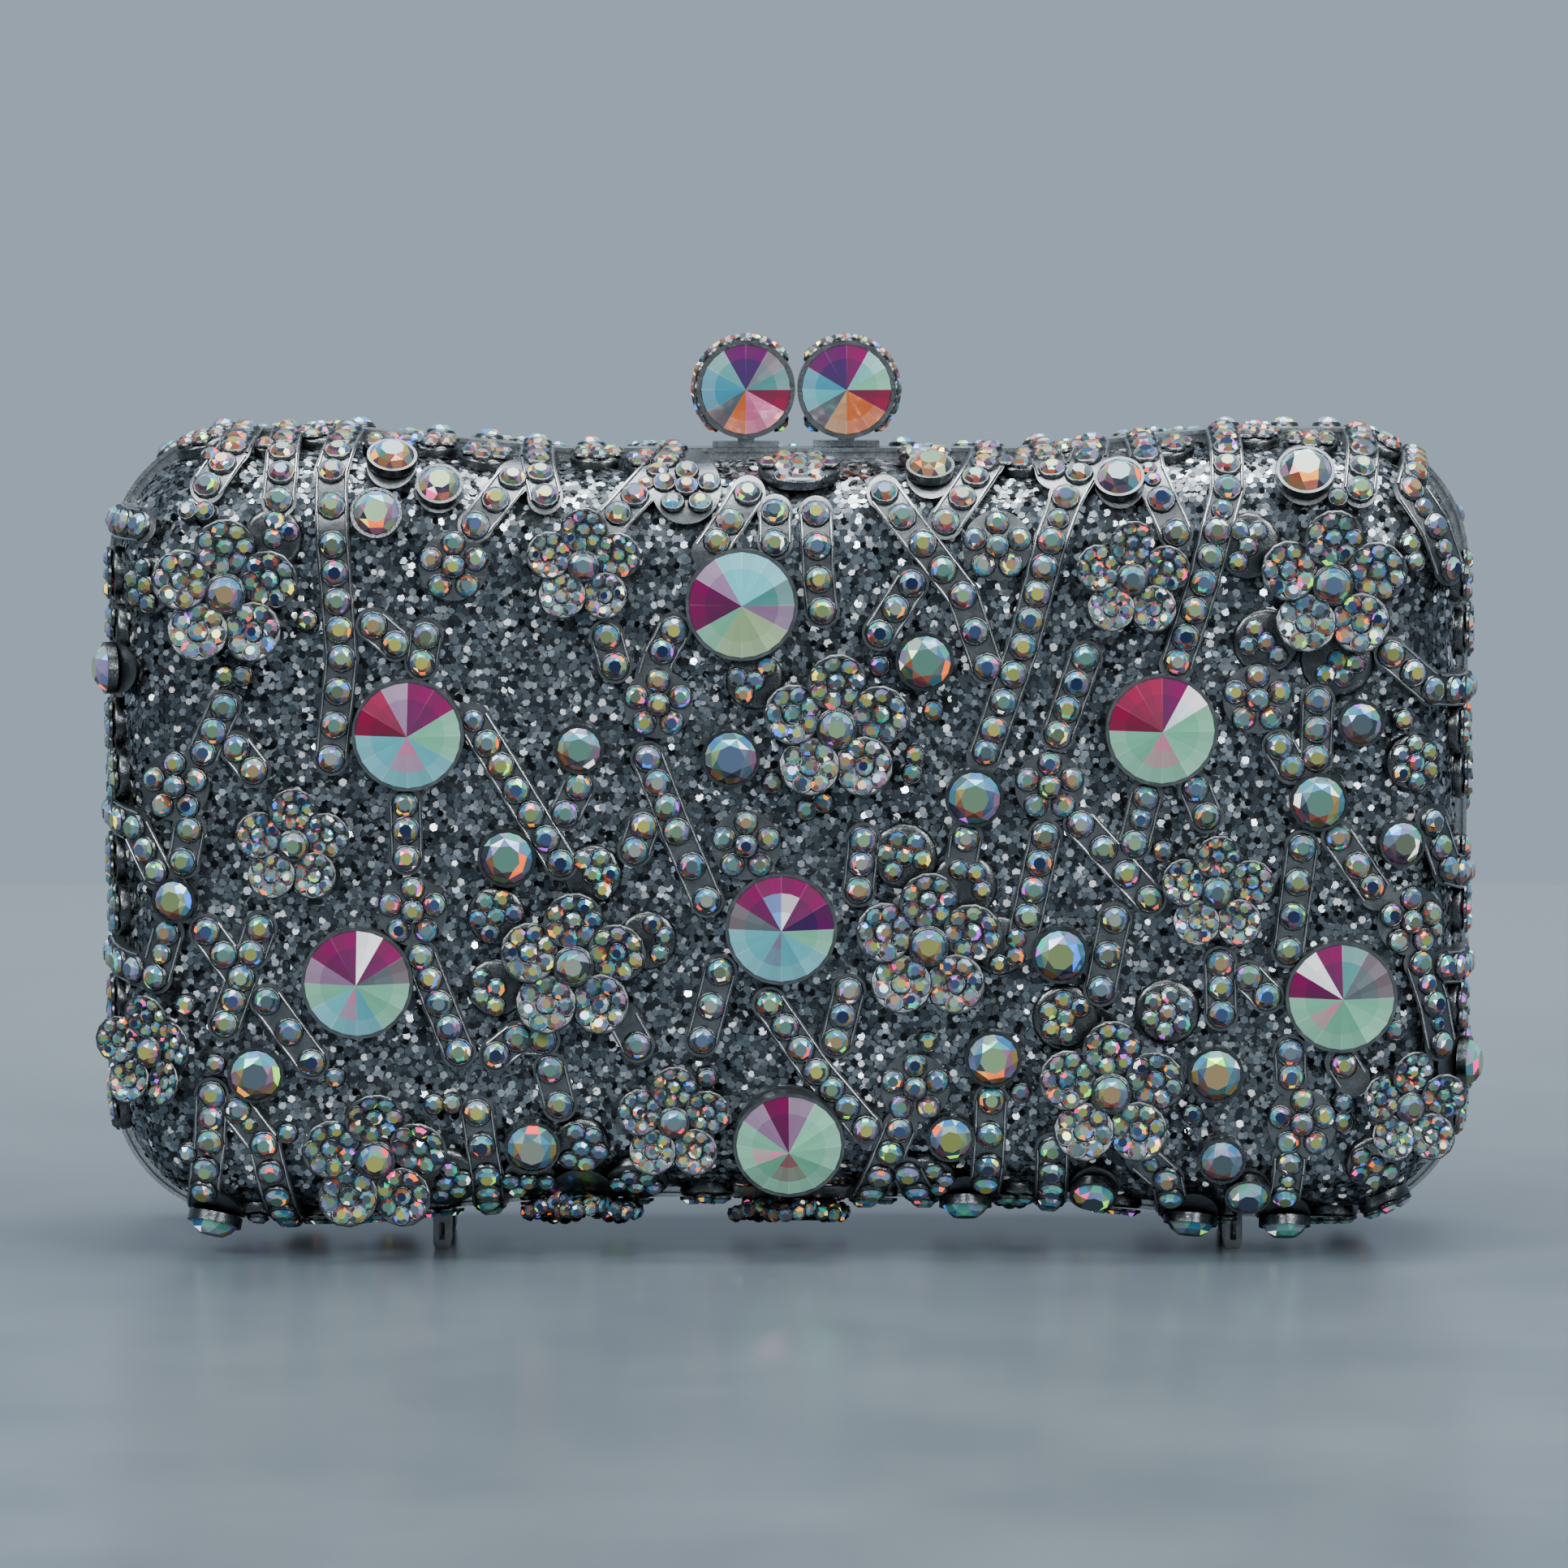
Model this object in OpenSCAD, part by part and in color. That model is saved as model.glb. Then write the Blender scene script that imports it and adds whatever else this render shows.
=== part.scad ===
// Crystal-set hard evening clutch (minaudiere) that opens like a book along its bottom edge.
// Two alike halves: metal frame, inner shell, glitter cover, lining and a cast openwork cage
// that carries flowers, cupped stones and rows of small stones. A kiss clasp closes the top.
// Frame of the part: X is the width, Y the depth with the front half at -Y, Z is up.
// The feet stand on Z = 0 and the halves meet on Y = 0. Lengths are in mm.

/* [Case] */
// Width of the case over its frames
case_w = 184; // [176:0.5:196]
// Height of the case over its frames, at the corners
case_h = 107.5; // [103:0.5:114]
// Radius of the outline corners
corner_r = 18; // [17:0.5:20]
// How far the middle of the top and bottom edges draws in
waist_dip = 2.7; // [2:0.1:3.4]
// Width of the level middle between the two slopes of an edge
waist_flat_w = 60; // [56:1:64]
// Width between the tops of the two slopes of an edge
waist_top_w = 116; // [110:1:122]
// Height of the case corners above the table
case_lift = 3.5; // [3.2:0.1:4.5]

/* [Side curve] */
// Depth of each frame from the parting plane
frame_d = 3.5; // [3.3:0.1:4]
// Radius of the long curve of the side walls
wall_r = 70; // [60:1:80]
// Lean of the wall where it leaves the frame, in degrees
wall_draft = 4; // [3:0.5:5]
// Lean of the wall where the edge rounding starts, in degrees
wall_turn = 12; // [11:0.5:13]
// Radius of the rounding between wall and face
edge_r = 12.5; // [12:0.25:13]

/* [Layers] */
// Thickness of the cast cage
cage_t = 1.8; // [1.5:0.1:2]
// Thickness of the glitter cover
cover_t = 0.5; // [0.4:0.05:0.6]
// Thickness of the inner shell
shell_t = 1.2; // [1:0.1:1.4]
// Thickness of the lining
lining_t = 0.6; // [0.4:0.1:0.8]
// Gap left between pieces that rest on each other
seat_gap = 0.05; // [0.03:0.01:0.08]
// Gap between the two frames when closed
parting_gap = 0.2; // [0.15:0.05:0.4]

/* [Frame section] */
// Hairline gap where the two strips of a frame meet
seam_gap = 0.05; // [0.03:0.01:0.1]
// Distance of the groove from the outer edge of the frame
groove_inset = 0.5; // [0.4:0.05:0.6]
// Width of the groove in the lip of the frame
groove_w = 0.8; // [0.6:0.05:0.9]
// Depth of the groove
groove_d = 0.8; // [0.5:0.1:1]
// Extra width of the frame inside the lining
frame_lip = 0.3; // [0.2:0.05:0.6]

/* [Cage] */
// Width of a rib of the cage
rib_w = 4.4; // [4:0.1:4.8]
// Extra radius of a rib at its bends and ends
rib_swell = 0.15; // [0.1:0.05:0.2]
// Diameter of the small stones in the ribs
rib_stone_d = 3.2; // [3:0.05:3.3]
// Distance between two small stones along a rib
rib_pitch = 3.55; // [3.5:0.05:3.7]
// Gap between stones, and between a stone and the rim of its neighbour
stone_space = 0.1; // [0.05:0.05:0.2]
// Gap below a small stone
stone_gap = 0.03; // [0.02:0.01:0.05]
// Height of the upright edge of a stone, as a share of its diameter
stone_edge_share = 0.16; // [0.12:0.01:0.2]
// Width of the flat top of a stone, as a share of its diameter
stone_table_share = 0.56; // [0.5:0.01:0.6]
// Whole height of a small stone, as a share of its diameter
stone_height_share = 0.4; // [0.34:0.01:0.44]
// Radius of the pad below a star of small stones
star_pad_r = 4.6; // [4.2:0.1:4.8]
// Radius of the ring of stones in a star
star_ring_r = 3.1; // [2.95:0.05:3.3]
// Diameter of a stone of a star
star_stone_d = 2.7; // [2.5:0.05:2.8]

/* [Cupped stones] */
// Diameter of the large pointed stones
large_d = 14; // [13.5:0.1:14.2]
// Height of the point of a large stone above its rim
large_point = 2.6; // [2:0.1:3]
// Diameter of the largest medium stone
medium_d = 6.9; // [6.6:0.1:7]
// Width of the metal rim round a cupped stone
cup_wall = 0.45; // [0.4:0.05:0.5]
// Height of a large cup
large_cup_h = 1.6; // [1.4:0.1:2]
// Height of a medium cup
medium_cup_h = 1.3; // [1.2:0.1:1.6]
// Thickness of the floor of a cup
cup_floor = 0.5; // [0.4:0.05:0.6]
// Gap round a stone in its cup
cup_gap = 0.03; // [0.02:0.01:0.05]
// Height of the cut top of a medium stone, as a share of its radius
medium_crown_share = 0.34; // [0.28:0.01:0.4]

/* [Flowers] */
// Radius of a petal of a large flower
petal_r = 4.1; // [3.8:0.1:4.2]
// Distance of a petal from the middle of a large flower
petal_out = 6.2; // [6:0.1:6.4]
// Thickness of a petal
petal_t = 0.9; // [0.8:0.1:1.1]
// Upward lean of a petal, in degrees
petal_lean = 16; // [14:1:18]
// Sideways lean of a petal, so that it overlaps the next one, in degrees
petal_twist = 7; // [6:0.5:9]
// Radius of the middle boss of a large flower
boss_r = 2.9; // [2.7:0.1:3]
// Height of the middle boss
boss_h = 1.5; // [1.3:0.1:1.7]
// Diameter of the stone in the middle of a large flower
centre_d = 4.6; // [4.2:0.1:4.8]
// Size of a small flower against a large one
small_flower_share = 0.78; // [0.76:0.01:0.8]

/* [Hinges] */
// Distance of the hinge axis below the lowest edge of the frames
hinge_drop = 0.1; // [0.05:0.05:0.2]
// Length of one knuckle
knuckle_w = 2; // [1.8:0.05:2.2]
// Radius of a knuckle
knuckle_r = 0.95; // [0.9:0.05:1]
// Radius of the hinge pin
pin_r = 0.45; // [0.4:0.02:0.48]
// Running gap between pin and knuckle
pin_gap = 0.04; // [0.03:0.01:0.06]
// Gap between two knuckles
knuckle_gap = 0.25; // [0.2:0.05:0.3]
// Thickness of the hinge leaf
leaf_t = 0.8; // [0.7:0.05:0.9]

/* [Clasp] */
// Distance of the middle of the clasp from the middle of the case
clasp_x = 1; // [0:0.1:2]
// Distance between the two clasp drums
drum_pitch = 13.6; // [13.6:0.1:14]
// Radius of a clasp drum
drum_r = 6.65; // [6.5:0.05:6.65]
// Length of a clasp drum
drum_l = 8; // [7:0.2:9]
// Diameter of the pointed stones of the clasp
drum_stone_d = 12; // [11.8:0.1:12.2]
// Height of the point of a clasp stone
drum_point = 2.2; // [1.8:0.1:2.4]
// Depth of the seat of a clasp stone in the end of its drum
drum_seat = 0.9; // [0.7:0.1:1.1]
// Wall of a drum between the seat of its stone and the slot of its arm
drum_web = 0.45; // [0.4:0.05:0.6]
// Radius of the rounded foot of a clasp arm
arm_foot_r = 1.2; // [1.1:0.05:1.3]
// Width of a clasp arm
arm_w = 1.8; // [1.6:0.1:2]
// Length of the clasp arm above its foot
arm_reach = 3; // [2.6:0.1:3.4]
// Gap between a drum and the saddle below it
drum_lift = 0.4; // [0.3:0.05:0.5]
// Thickness of the saddle below the foot of the arm
saddle_floor = 0.2; // [0.15:0.05:0.25]
// Height of the clasp saddle on the frame
saddle_h = 0.8; // [0.6:0.1:0.9]
// Width of the clasp saddle
saddle_w = 9; // [8:0.2:10]

/* [Feet] */
// Distance of the middle of a foot from the parting plane
foot_y = 7.2; // [7:0.1:8]
// Length of a foot from front to back
foot_l = 5; // [4:0.2:5.4]
// Width of a foot
foot_w = 2.4; // [2.2:0.1:2.6]
// Width of the slot in a foot
slot_w = 0.8; // [0.7:0.1:0.9]
// Height of the slot in a foot
slot_h = 2.4; // [2:0.1:2.8]
// Depth of the flat tread cut on the round end of a foot
tread_cut = 0.3; // [0.2:0.05:0.4]

/* [Hidden] */
$fa = 6;
$fs = 0.5;

// Overrun of every cut past the face it opens
over = 1;
// Extra length of the sloped runs, past the planes that trim them
run_over = 12;
// Overlap of a sloped run with its neighbours
slope_lap = 0.2;
// Small step down to a sloped run, so that its ends lie inside its neighbours
slope_drop = 0.05;
// Height of the waist cuts above the face
cut_h = 8;
// Small outward shift that lets the edge rounding cross the wall curve cleanly
join = 0.05;
// Angle of one step of the long wall curve where it is drawn in steps
wall_fa = 1;
// Trim of the rounding where the flat face cuts it
face_trim = 0.02;

corner_x = case_w / 2 - corner_r;
corner_y = case_h / 2 - corner_r;
level_y = case_h / 2 - waist_dip;
ridge_x = waist_top_w / 2;
slope_dx = ridge_x - waist_flat_w / 2;
slope = atan2(waist_dip, slope_dx);
slope_l = norm([slope_dx, waist_dip]);

wall_cu = wall_r * cos(wall_draft);
wall_cz = frame_d - wall_r * sin(wall_draft);
edge_cu = wall_cu - (wall_r - edge_r) * cos(wall_turn) - join;
edge_cz = wall_cz + (wall_r - edge_r) * sin(wall_turn);
face_z = edge_cz + edge_r - face_trim;
turn_u = wall_cu - wall_r * cos(wall_turn);
arc_rate = PI / 180;
turn_run = wall_r * (wall_turn - wall_draft) * arc_rate;
flat_run = turn_run + edge_r * (90 - wall_turn) * arc_rate;

end_run = rib_stone_d / 2 + stone_space;
// Part of a pitch by which a row of stones may close up
count_slack = 0.08;
star_count = 5;
petal_count = 5;
facet_count = 12;
petal_rise = petal_r * sin(petal_lean + petal_twist / 2) + petal_t / 2;
flower_reach = petal_out + petal_r / 2;

cover_o = -cage_t - seat_gap;
shell_o = cover_o - cover_t - seat_gap;
lining_o = shell_o - shell_t - seat_gap;
hollow_o = lining_o - lining_t;
frame_w = frame_lip - hollow_o;
layer_base = frame_d + seat_gap;
centre_z = case_lift + case_h / 2;

front_slots = [0, 2, 4];
back_slots = [1, 3];
slot_pitch = knuckle_w + knuckle_gap;
hinge_l = max(concat(front_slots, back_slots)) * slot_pitch + knuckle_w;
leaf_top_z = centre_z - level_y - seat_gap;
hinge_z = case_lift - hinge_drop;

saddle_base_z = centre_z + level_y + seat_gap;
arm_z = saddle_base_z + saddle_floor + pin_gap + arm_foot_r;
drum_z = saddle_base_z + saddle_h + drum_lift + drum_r;
clasp_l = frame_d - parting_gap / 2;
arm_l = drum_l / 2 - drum_seat - drum_web - parting_gap / 2;

// Places of the feet as shares of half the case width, between the ribs of the cage.
foot_shares = [-0.511, 0.655];
// Places as shares of half the case width and half the case height, from the middle of the face.
large_shares = [
  [-0.068, 0.579], [-0.55, 0.256], [0.538, 0.268], [-0.625, -0.36],
  [-0.011, -0.225], [0.8, -0.395], [0, -0.758]
];
// The third share is the stone size against the largest medium stone.
medium_shares = [
  [-0.575, 0.925, 0.84], [-0.505, 0.862, 0.78], [-0.595, 0.8, 0.86], [0.205, 0.898, 0.81],
  [0.478, 0.877, 0.84], [0.746, 0.895, 1], [-0.303, 0.221, 0.83], [-0.084, 0.199, 1],
  [0.196, 0.438, 1], [0.268, 0.1, 1], [0.766, 0.09, 1], [0.826, 0.285, 0.77],
  [-0.408, -0.049, 1], [-0.887, -0.156, 0.75], [0.884, -0.013, 0.8], [0.393, -0.291, 0.97],
  [0.296, -0.55, 0.97], [0.619, -0.59, 0.96], [-0.773, -0.59, 0.96], [-0.373, -0.767, 0.96],
  [0.235, -0.745, 0.81], [0.629, -0.801, 0.8], [0.445, -0.888, 0.81], [0.668, -0.888, 0.78],
  [0.59, -0.967, 0.92], [0.259, -0.9215, 0.9], [-0.84, -0.9655, 0.94], [0.727, -0.972, 0.88],
  [-0.9835, 0.41, 0.88], [0.9835, -0.58, 0.9]
];
flower_shares = [
  [-0.812, 0.606], [0.784, 0.628], [0.069, 0.273], [-0.312, -0.318],
  [0.202, -0.268], [0.467, -0.636], [-0.601, -0.797]
];
small_flower_shares = [
  [-0.296, 0.674], [0.495, 0.642], [-0.717, -0.019], [0.62, -0.136],
  [-0.167, -0.708], [0.899, -0.674], [-0.924, -0.537], [0, -0.9385], [-0.303, -0.9256]
];
star_shares = [
  [-0.484, 0.673], [-0.148, 0.862], [-0.189, 0.332], [-0.545, -0.184], [-0.062, -0.02],
  [0.377, 0.127], [0.3, 0.723], [0.677, 0.344], [0.902, -0.21], [0.183, -0.625],
  [0.745, -0.714], [-0.888, 0.126]
];
rib_shares = [
  [[-0.734, 1.03], [-0.734, 0.9], [-0.736, 0.836]],
  [[-0.642, 1.03], [-0.661, 0.904], [-0.658, 0.727], [-0.646, 0.446], [-0.662, 0.197]],
  [[-0.4, 0.885], [-0.452, 0.774]],
  [[-0.376, 1.03], [-0.368, 0.942], [-0.352, 0.843]],
  [[-0.15, 1.03], [-0.172, 0.935], [-0.257, 0.783]],
  [[-0.059, 0.849], [-0.115, 0.708]],
  [[-0.02, 0.805], [-0.02, 0.731]],
  [[0.039, 0.801], [0.043, 0.641], [0.048, 0.563]],
  [[0.138, 0.851], [0.193, 0.729], [0.251, 0.601], [0.286, 0.424]],
  [[0.177, 0.631], [0.131, 0.507]],
  [[0.305, 1.03], [0.29, 0.931], [0.226, 0.782]],
  [[0.371, 1.03], [0.372, 0.95], [0.382, 0.905]],
  [[0.458, 1.03], [0.44, 0.95], [0.4, 0.84], [0.378, 0.736], [0.338, 0.475], [0.282, 0.2]],
  [[0.512, 1.03], [0.521, 0.903], [0.558, 0.756]],
  [[0.636, 1.03], [0.633, 0.864], [0.617, 0.761], [0.598, 0.633], [0.56, 0.43]],
  [[0.84, 1.03], [0.824, 0.86]],
  [[0.925, 0.965], [0.9, 0.86], [0.935, 0.77], [0.958, 0.663]],
  [[0.87, 0.456], [0.932, 0.365], [1.03, 0.35]],
  [[0.428, 0.446], [0.389, 0.257]],
  [[-0.6, 0.527], [-0.568, 0.48]],
  [[-0.524, 0.501], [-0.53, 0.434]],
  [[-0.263, 0.499], [-0.251, 0.426]],
  [[-0.166, 0.515], [-0.188, 0.446], [-0.197, 0.398]],
  [[-0.456, 0.29], [-0.416, 0.179], [-0.33, -0.063]],
  [[-0.304, 0.127], [-0.323, 0.06]],
  [[-0.816, 0.324], [-0.848, 0.205]],
  [[-0.868, 0.02], [-0.877, -0.06]],
  [[-0.799, 0.223], [-0.774, 0.167]],
  [[-1.03, 0.06], [-0.95, 0.019], [-0.915, -0.094]],
  [[-0.901, -0.238], [-0.92, -0.35]],
  [[-0.844, -0.233], [-0.794, -0.35], [-0.818, -0.463]],
  [[-0.766, -0.226], [-0.779, -0.289]],
  [[-0.757, -0.407], [-0.692, -0.56]],
  [[-0.555, 0.09], [-0.553, -0.051]],
  [[-0.533, -0.297], [-0.507, -0.413], [-0.479, -0.534]],
  [[-0.425, -0.542], [-0.394, -0.5], [-0.357, -0.504]],
  [[-0.346, -0.578], [-0.333, -0.666]],
  [[-0.204, 0.197], [-0.162, 0.016], [-0.119, -0.156]],
  [[-0.21, 0.03], [-0.223, -0.031]],
  [[-0.1, -0.334], [-0.126, -0.504]],
  [[-0.028, -0.415], [0.04, -0.583], [0.112, -0.727]],
  [[0.087, -0.382], [0.069, -0.508]],
  [[0.108, -0.006], [0.101, -0.13]],
  [[0.256, -0.002], [0.251, -0.055]],
  [[0.371, 0.004], [0.337, -0.263]],
  [[0.422, 0.034], [0.522, -0.152]],
  [[0.517, 0.106], [0.5, -0.014]],
  [[0.588, 0.121], [0.604, 0.054]],
  [[0.472, -0.204], [0.452, -0.378]],
  [[0.709, 0.227], [0.727, 0.175]],
  [[0.764, 0.34], [0.762, 0.199]],
  [[0.743, -0.025], [0.724, -0.281]],
  [[0.795, 0], [0.851, -0.138]],
  [[0.917, -0.315], [0.938, -0.419], [0.95, -0.523]],
  [[0.933, 0.035], [0.958, -0.084], [1.03, -0.13]],
  [[0.625, -0.313], [0.627, -0.439]],
  [[0.666, -0.348], [0.693, -0.396]],
  [[0.727, -0.536], [0.729, -0.603]],
  [[0.728, -0.8], [0.727, -0.842], [0.715, -1.03]],
  [[0.803, -0.561], [0.818, -0.603]],
  [[-0.453, -0.686], [-0.44, -0.847], [-0.438, -1.03]],
  [[0.294, -0.655], [0.29, -0.822], [0.278, -1.03]],
  [[0.383, -0.78], [0.383, -1.03]],
  [[0.514, -0.801], [0.55, -0.857], [0.574, -1.03]],
  [[0.162, -0.723], [0.147, -0.789], [0.09, -1.03]],
  [[0.173, -0.845], [0.225, -1.03]],
  [[-0.24, -0.455], [-0.22, -0.518]],
  [[-0.838, -0.642], [-0.841, -0.76], [-0.866, -1.03]],
  [[-0.8, -0.68], [-0.762, -0.766], [-0.73, -1.03]],
  [[-0.79, 1.03], [-0.805, 0.96], [-0.84, 0.87]],
  [[-1.03, 0.78], [-0.94, 0.77]],
  [[-1.03, -0.3], [-0.952, -0.335]],
  [[1.03, -0.35], [0.954, -0.33]]
];

// Distance inward from the outline and the planar direction of that distance.
function edge(x, y) =
  let (qx = abs(x) - corner_x, qy = abs(y) - corner_y)
  let (rx = ridge_x - abs(x), ry = case_h / 2 - abs(y))
  let (side = case_w / 2 - abs(x))
  let (sloped = ry * cos(slope) - rx * sin(slope))
  let (level = ry - waist_dip)
  let (top = rx < 0 ? ry : max(sloped, level))
  let (r = norm([qx, qy]))
  qy > 0 && qx > 0 ? [corner_r - r, -sign(x) * qx / r, -sign(y) * qy / r]
  : side < top ? [side, -sign(x), 0]
  : rx > 0 && sloped > level ? [sloped, sign(x) * sin(slope), -sign(y) * cos(slope)]
  : [top, 0, -sign(y)];

function lean(u) =
  u < turn_u ? acos((wall_cu - u) / wall_r)
  : u < edge_cu ? acos((edge_cu - u) / edge_r)
  : 90;
function rise(u) =
  u < turn_u ? wall_cz + wall_r * sin(lean(u))
  : edge_cz + edge_r * sin(lean(u));
function run_of(u) =
  u < turn_u ? wall_r * (lean(u) - wall_draft) * arc_rate
  : u < edge_cu ? turn_run + edge_r * (lean(u) - wall_turn) * arc_rate
  : flat_run + u - edge_cu;
function u_of(run) =
  run < turn_run ? wall_cu - wall_r * cos(wall_draft + run / wall_r / arc_rate)
  : run < flat_run ? edge_cu - edge_r * cos(wall_turn + (run - turn_run) / edge_r / arc_rate)
  : edge_cu + run - flat_run;
function place(share) = [share[0] * case_w / 2, share[1] * case_h / 2];
function mix(a, b, f) = a + (b - a) * f;

// Half of the case in its own plane: x right, y up from the middle, z out of the face.
module front_half() {
  translate([0, 0, centre_z])
  rotate([90, 0, 0])
  children();
}

module back_half() {
  rotate([0, 0, 180])
  front_half()
  children();
}

// Seats its children on the outer face of the cage, z along the normal.
module on_cage(p, lift) {
  e = edge(p[0], p[1]);
  u = max(e[0], 0);
  turn = atan2(-e[2], -e[1]);
  translate([p[0], p[1], rise(u)])
  rotate([0, 0, turn])
  rotate([0, 90 - lean(u), 0])
  rotate([0, 0, -turn])
  translate([0, 0, lift])
  children();
}

// Runs a section (x outward from the corner centre, y out of the parting plane) along +x.
module run(l) {
  rotate([90, 0, 90])
  linear_extrude(l)
  children();
}

module sloped_run() {
  translate([ridge_x, case_h / 2, 0])
  rotate([0, 0, slope])
  translate([-slope_l - run_over, -corner_r - slope_drop, 0])
  run(slope_l + 2 * run_over)
  children();
}

module slope_zone() {
  translate([waist_flat_w / 2 - slope_lap, -case_h, -case_h])
  cube([slope_dx + 2 * slope_lap, 2 * case_h, 2 * case_h]);
}

// Corners and sides, which the front face and the frame have in common.
module ends() {
  for (sx = [0, 1])
    mirror([sx, 0, 0]) {
      translate([corner_x, corner_y, 0])
      rotate([90, 0, 0])
      linear_extrude(2 * corner_y)
      children();
      for (sy = [0, 1])
        mirror([0, sy, 0])
        translate([corner_x, corner_y, 0])
        rotate_extrude(angle = 90)
        children();
    }
}

module frame_section() {
  difference() {
    translate([corner_r - frame_w, parting_gap / 2])
    square([frame_w, frame_d - parting_gap / 2]);
    translate([corner_r - groove_inset - groove_w, frame_d - groove_d])
    square([groove_w, groove_d + over]);
  }
}

// Frame of two bent strips that meet under the clasp and over the hinge.
module frame_ring() {
  difference() {
    union() {
      ends()
      frame_section();
      for (sx = [0, 1], sy = [0, 1])
        mirror([sx, 0, 0])
        mirror([0, sy, 0]) {
          translate([ridge_x, corner_y, 0])
          run(corner_x - ridge_x)
          frame_section();
          intersection() {
            sloped_run()
            frame_section();
            slope_zone();
          }
        }
      for (sy = [0, 1])
        mirror([0, sy, 0])
        translate([-waist_flat_w / 2, level_y - corner_r, 0])
        run(waist_flat_w)
        frame_section();
    }
    translate([clasp_x - seam_gap / 2, -case_h, -over])
    cube([seam_gap, 2 * case_h, frame_d + 2 * over]);
  }
}

// Half of the case from its edge inward by the corner radius and on by reach.
module pan_section(o, base, reach) {
  intersection() {
    translate([corner_r - wall_cu, wall_cz])
    circle(wall_r + o, $fa = wall_fa);
    translate([-reach, base])
    square([case_w, face_z + o - base]);
    union() {
      translate([corner_r - edge_cu, edge_cz])
      circle(edge_r + o);
      translate([-reach - over, base - over])
      square([case_w, edge_cz + (edge_r + o) * sin(wall_turn) - base + over]);
      translate([-reach - over, base - over])
      square([reach + over + corner_r - edge_cu, face_z + o - base + 2 * over]);
    }
  }
}

// All that lies outside a waist edge, from the wall to the top of the rounding.
module cut_section(o) {
  difference() {
    translate([corner_r - edge_cu, -2 * over])
    square([edge_cu + corner_r, face_z + cut_h]);
    intersection() {
      translate([corner_r - wall_cu, wall_cz])
      circle(wall_r + o, $fa = wall_fa);
      union() {
        translate([corner_r - edge_cu, edge_cz])
        circle(edge_r + o);
        translate([0, -case_h])
        square([2 * corner_r, case_h + edge_cz + (edge_r + o) * sin(wall_turn)]);
      }
    }
  }
}

module slope_cut(o) {
  translate([ridge_x, case_h / 2, 0])
  rotate([0, 0, slope])
  translate([-case_w, -corner_r, 0])
  run(case_w + run_over)
  cut_section(o);
}

// Draws the top and bottom edges in to the level middle and the two slopes.
module waist_cut(o) {
  for (sy = [0, 1])
    mirror([0, sy, 0])
    intersection() {
      translate([-case_w / 2, level_y - corner_r, 0])
      run(case_w)
      cut_section(o);
      slope_cut(o);
      mirror([1, 0, 0])
      slope_cut(o);
    }
}

// Solid half of the case at an offset from the outer face of the cage.
module pan(o, base) {
  difference() {
    union() {
      ends()
      intersection() {
        pan_section(o, base, 0);
        translate([0, -case_h])
        square([case_w, 2 * case_h]);
      }
      translate([-corner_x, 0, 0])
      run(2 * corner_x)
      for (sy = [0, 1])
        mirror([sy, 0])
        translate([corner_y, 0])
        pan_section(o, base, corner_y);
    }
    waist_cut(o);
  }
}

module skin(outer_o, inner_o) {
  difference() {
    pan(outer_o, layer_base);
    pan(inner_o, layer_base - over);
  }
}

module band(a, b) {
  translate(a)
  rotate(atan2(b[1] - a[1], b[0] - a[0]))
  translate([0, -rib_w / 2])
  square([norm(b - a), rib_w]);
}

module cage_plan() {
  for (rib = rib_shares) {
    for (i = [1 : len(rib) - 1])
      band(place(rib[i - 1]), place(rib[i]));
    for (p = rib)
      translate(place(p))
      circle(rib_w / 2 + rib_swell);
  }
  for (p = large_shares)
    translate(place(p))
    circle(large_d / 2 + cup_wall);
  for (p = medium_shares)
    translate(place(p))
    circle(p[2] * medium_d / 2 + cup_wall);
  for (p = flower_shares)
    translate(place(p))
    circle(petal_out);
  for (p = small_flower_shares)
    translate(place(p))
    circle(petal_out * small_flower_share);
  for (p = star_shares)
    translate(place(p))
    circle(star_pad_r);
}

module cage() {
  intersection() {
    skin(0, -cage_t);
    translate([0, 0, layer_base - over])
    linear_extrude(face_z)
    cage_plan();
  }
}

// Cut stone on a flat base, its sizes as shares of its diameter.
module small_stone(d) {
  rotate_extrude()
  polygon([
    [0, 0], [d / 2, 0], [d / 2, d * stone_edge_share],
    [d * stone_table_share / 2, d * stone_height_share], [0, d * stone_height_share]
  ]);
}

function seat(p) = [p[0], p[1], rise(max(edge(p[0], p[1])[0], 0))];
function apart(at, list, r) =
  len([for (q = list) if (norm(seat(place(q)) - at) < r) q]) == 0;
// True where a rib stone at this seat clears the cups, the flowers and the stars.
function is_free(at) =
  let (r = rib_stone_d / 2 + stone_space)
  apart(at, large_shares, large_d / 2 + cup_wall + r)
  && apart(at, flower_shares, flower_reach + r)
  && apart(at, small_flower_shares, flower_reach * small_flower_share + r)
  && apart(at, star_shares, star_ring_r + star_stone_d / 2 + r)
  && len([for (q = medium_shares)
    if (norm(seat(place(q)) - at) < q[2] * medium_d / 2 + cup_wall + r) q]) == 0;

module stone_row(a, b, first) {
  ua = edge(a[0], a[1])[0];
  ub = edge(b[0], b[1])[0];
  ra = max(run_of(max(ua, 0)), end_run);
  rb = max(run_of(max(ub, 0)), end_run);
  across = sqrt(max(0, pow(norm(b - a), 2) - pow(ub - ua, 2)));
  n = floor(norm([rb - ra, across]) / rib_pitch + count_slack);
  for (k = [first : n]) {
    share = k / max(n, 1);
    f = abs(ub - ua) < seat_gap ? share : (u_of(mix(ra, rb, share)) - ua) / (ub - ua);
    p = mix(a, b, f);
    if (is_free(seat(p)))
      on_cage(p, stone_gap)
      small_stone(rib_stone_d);
  }
}

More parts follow.
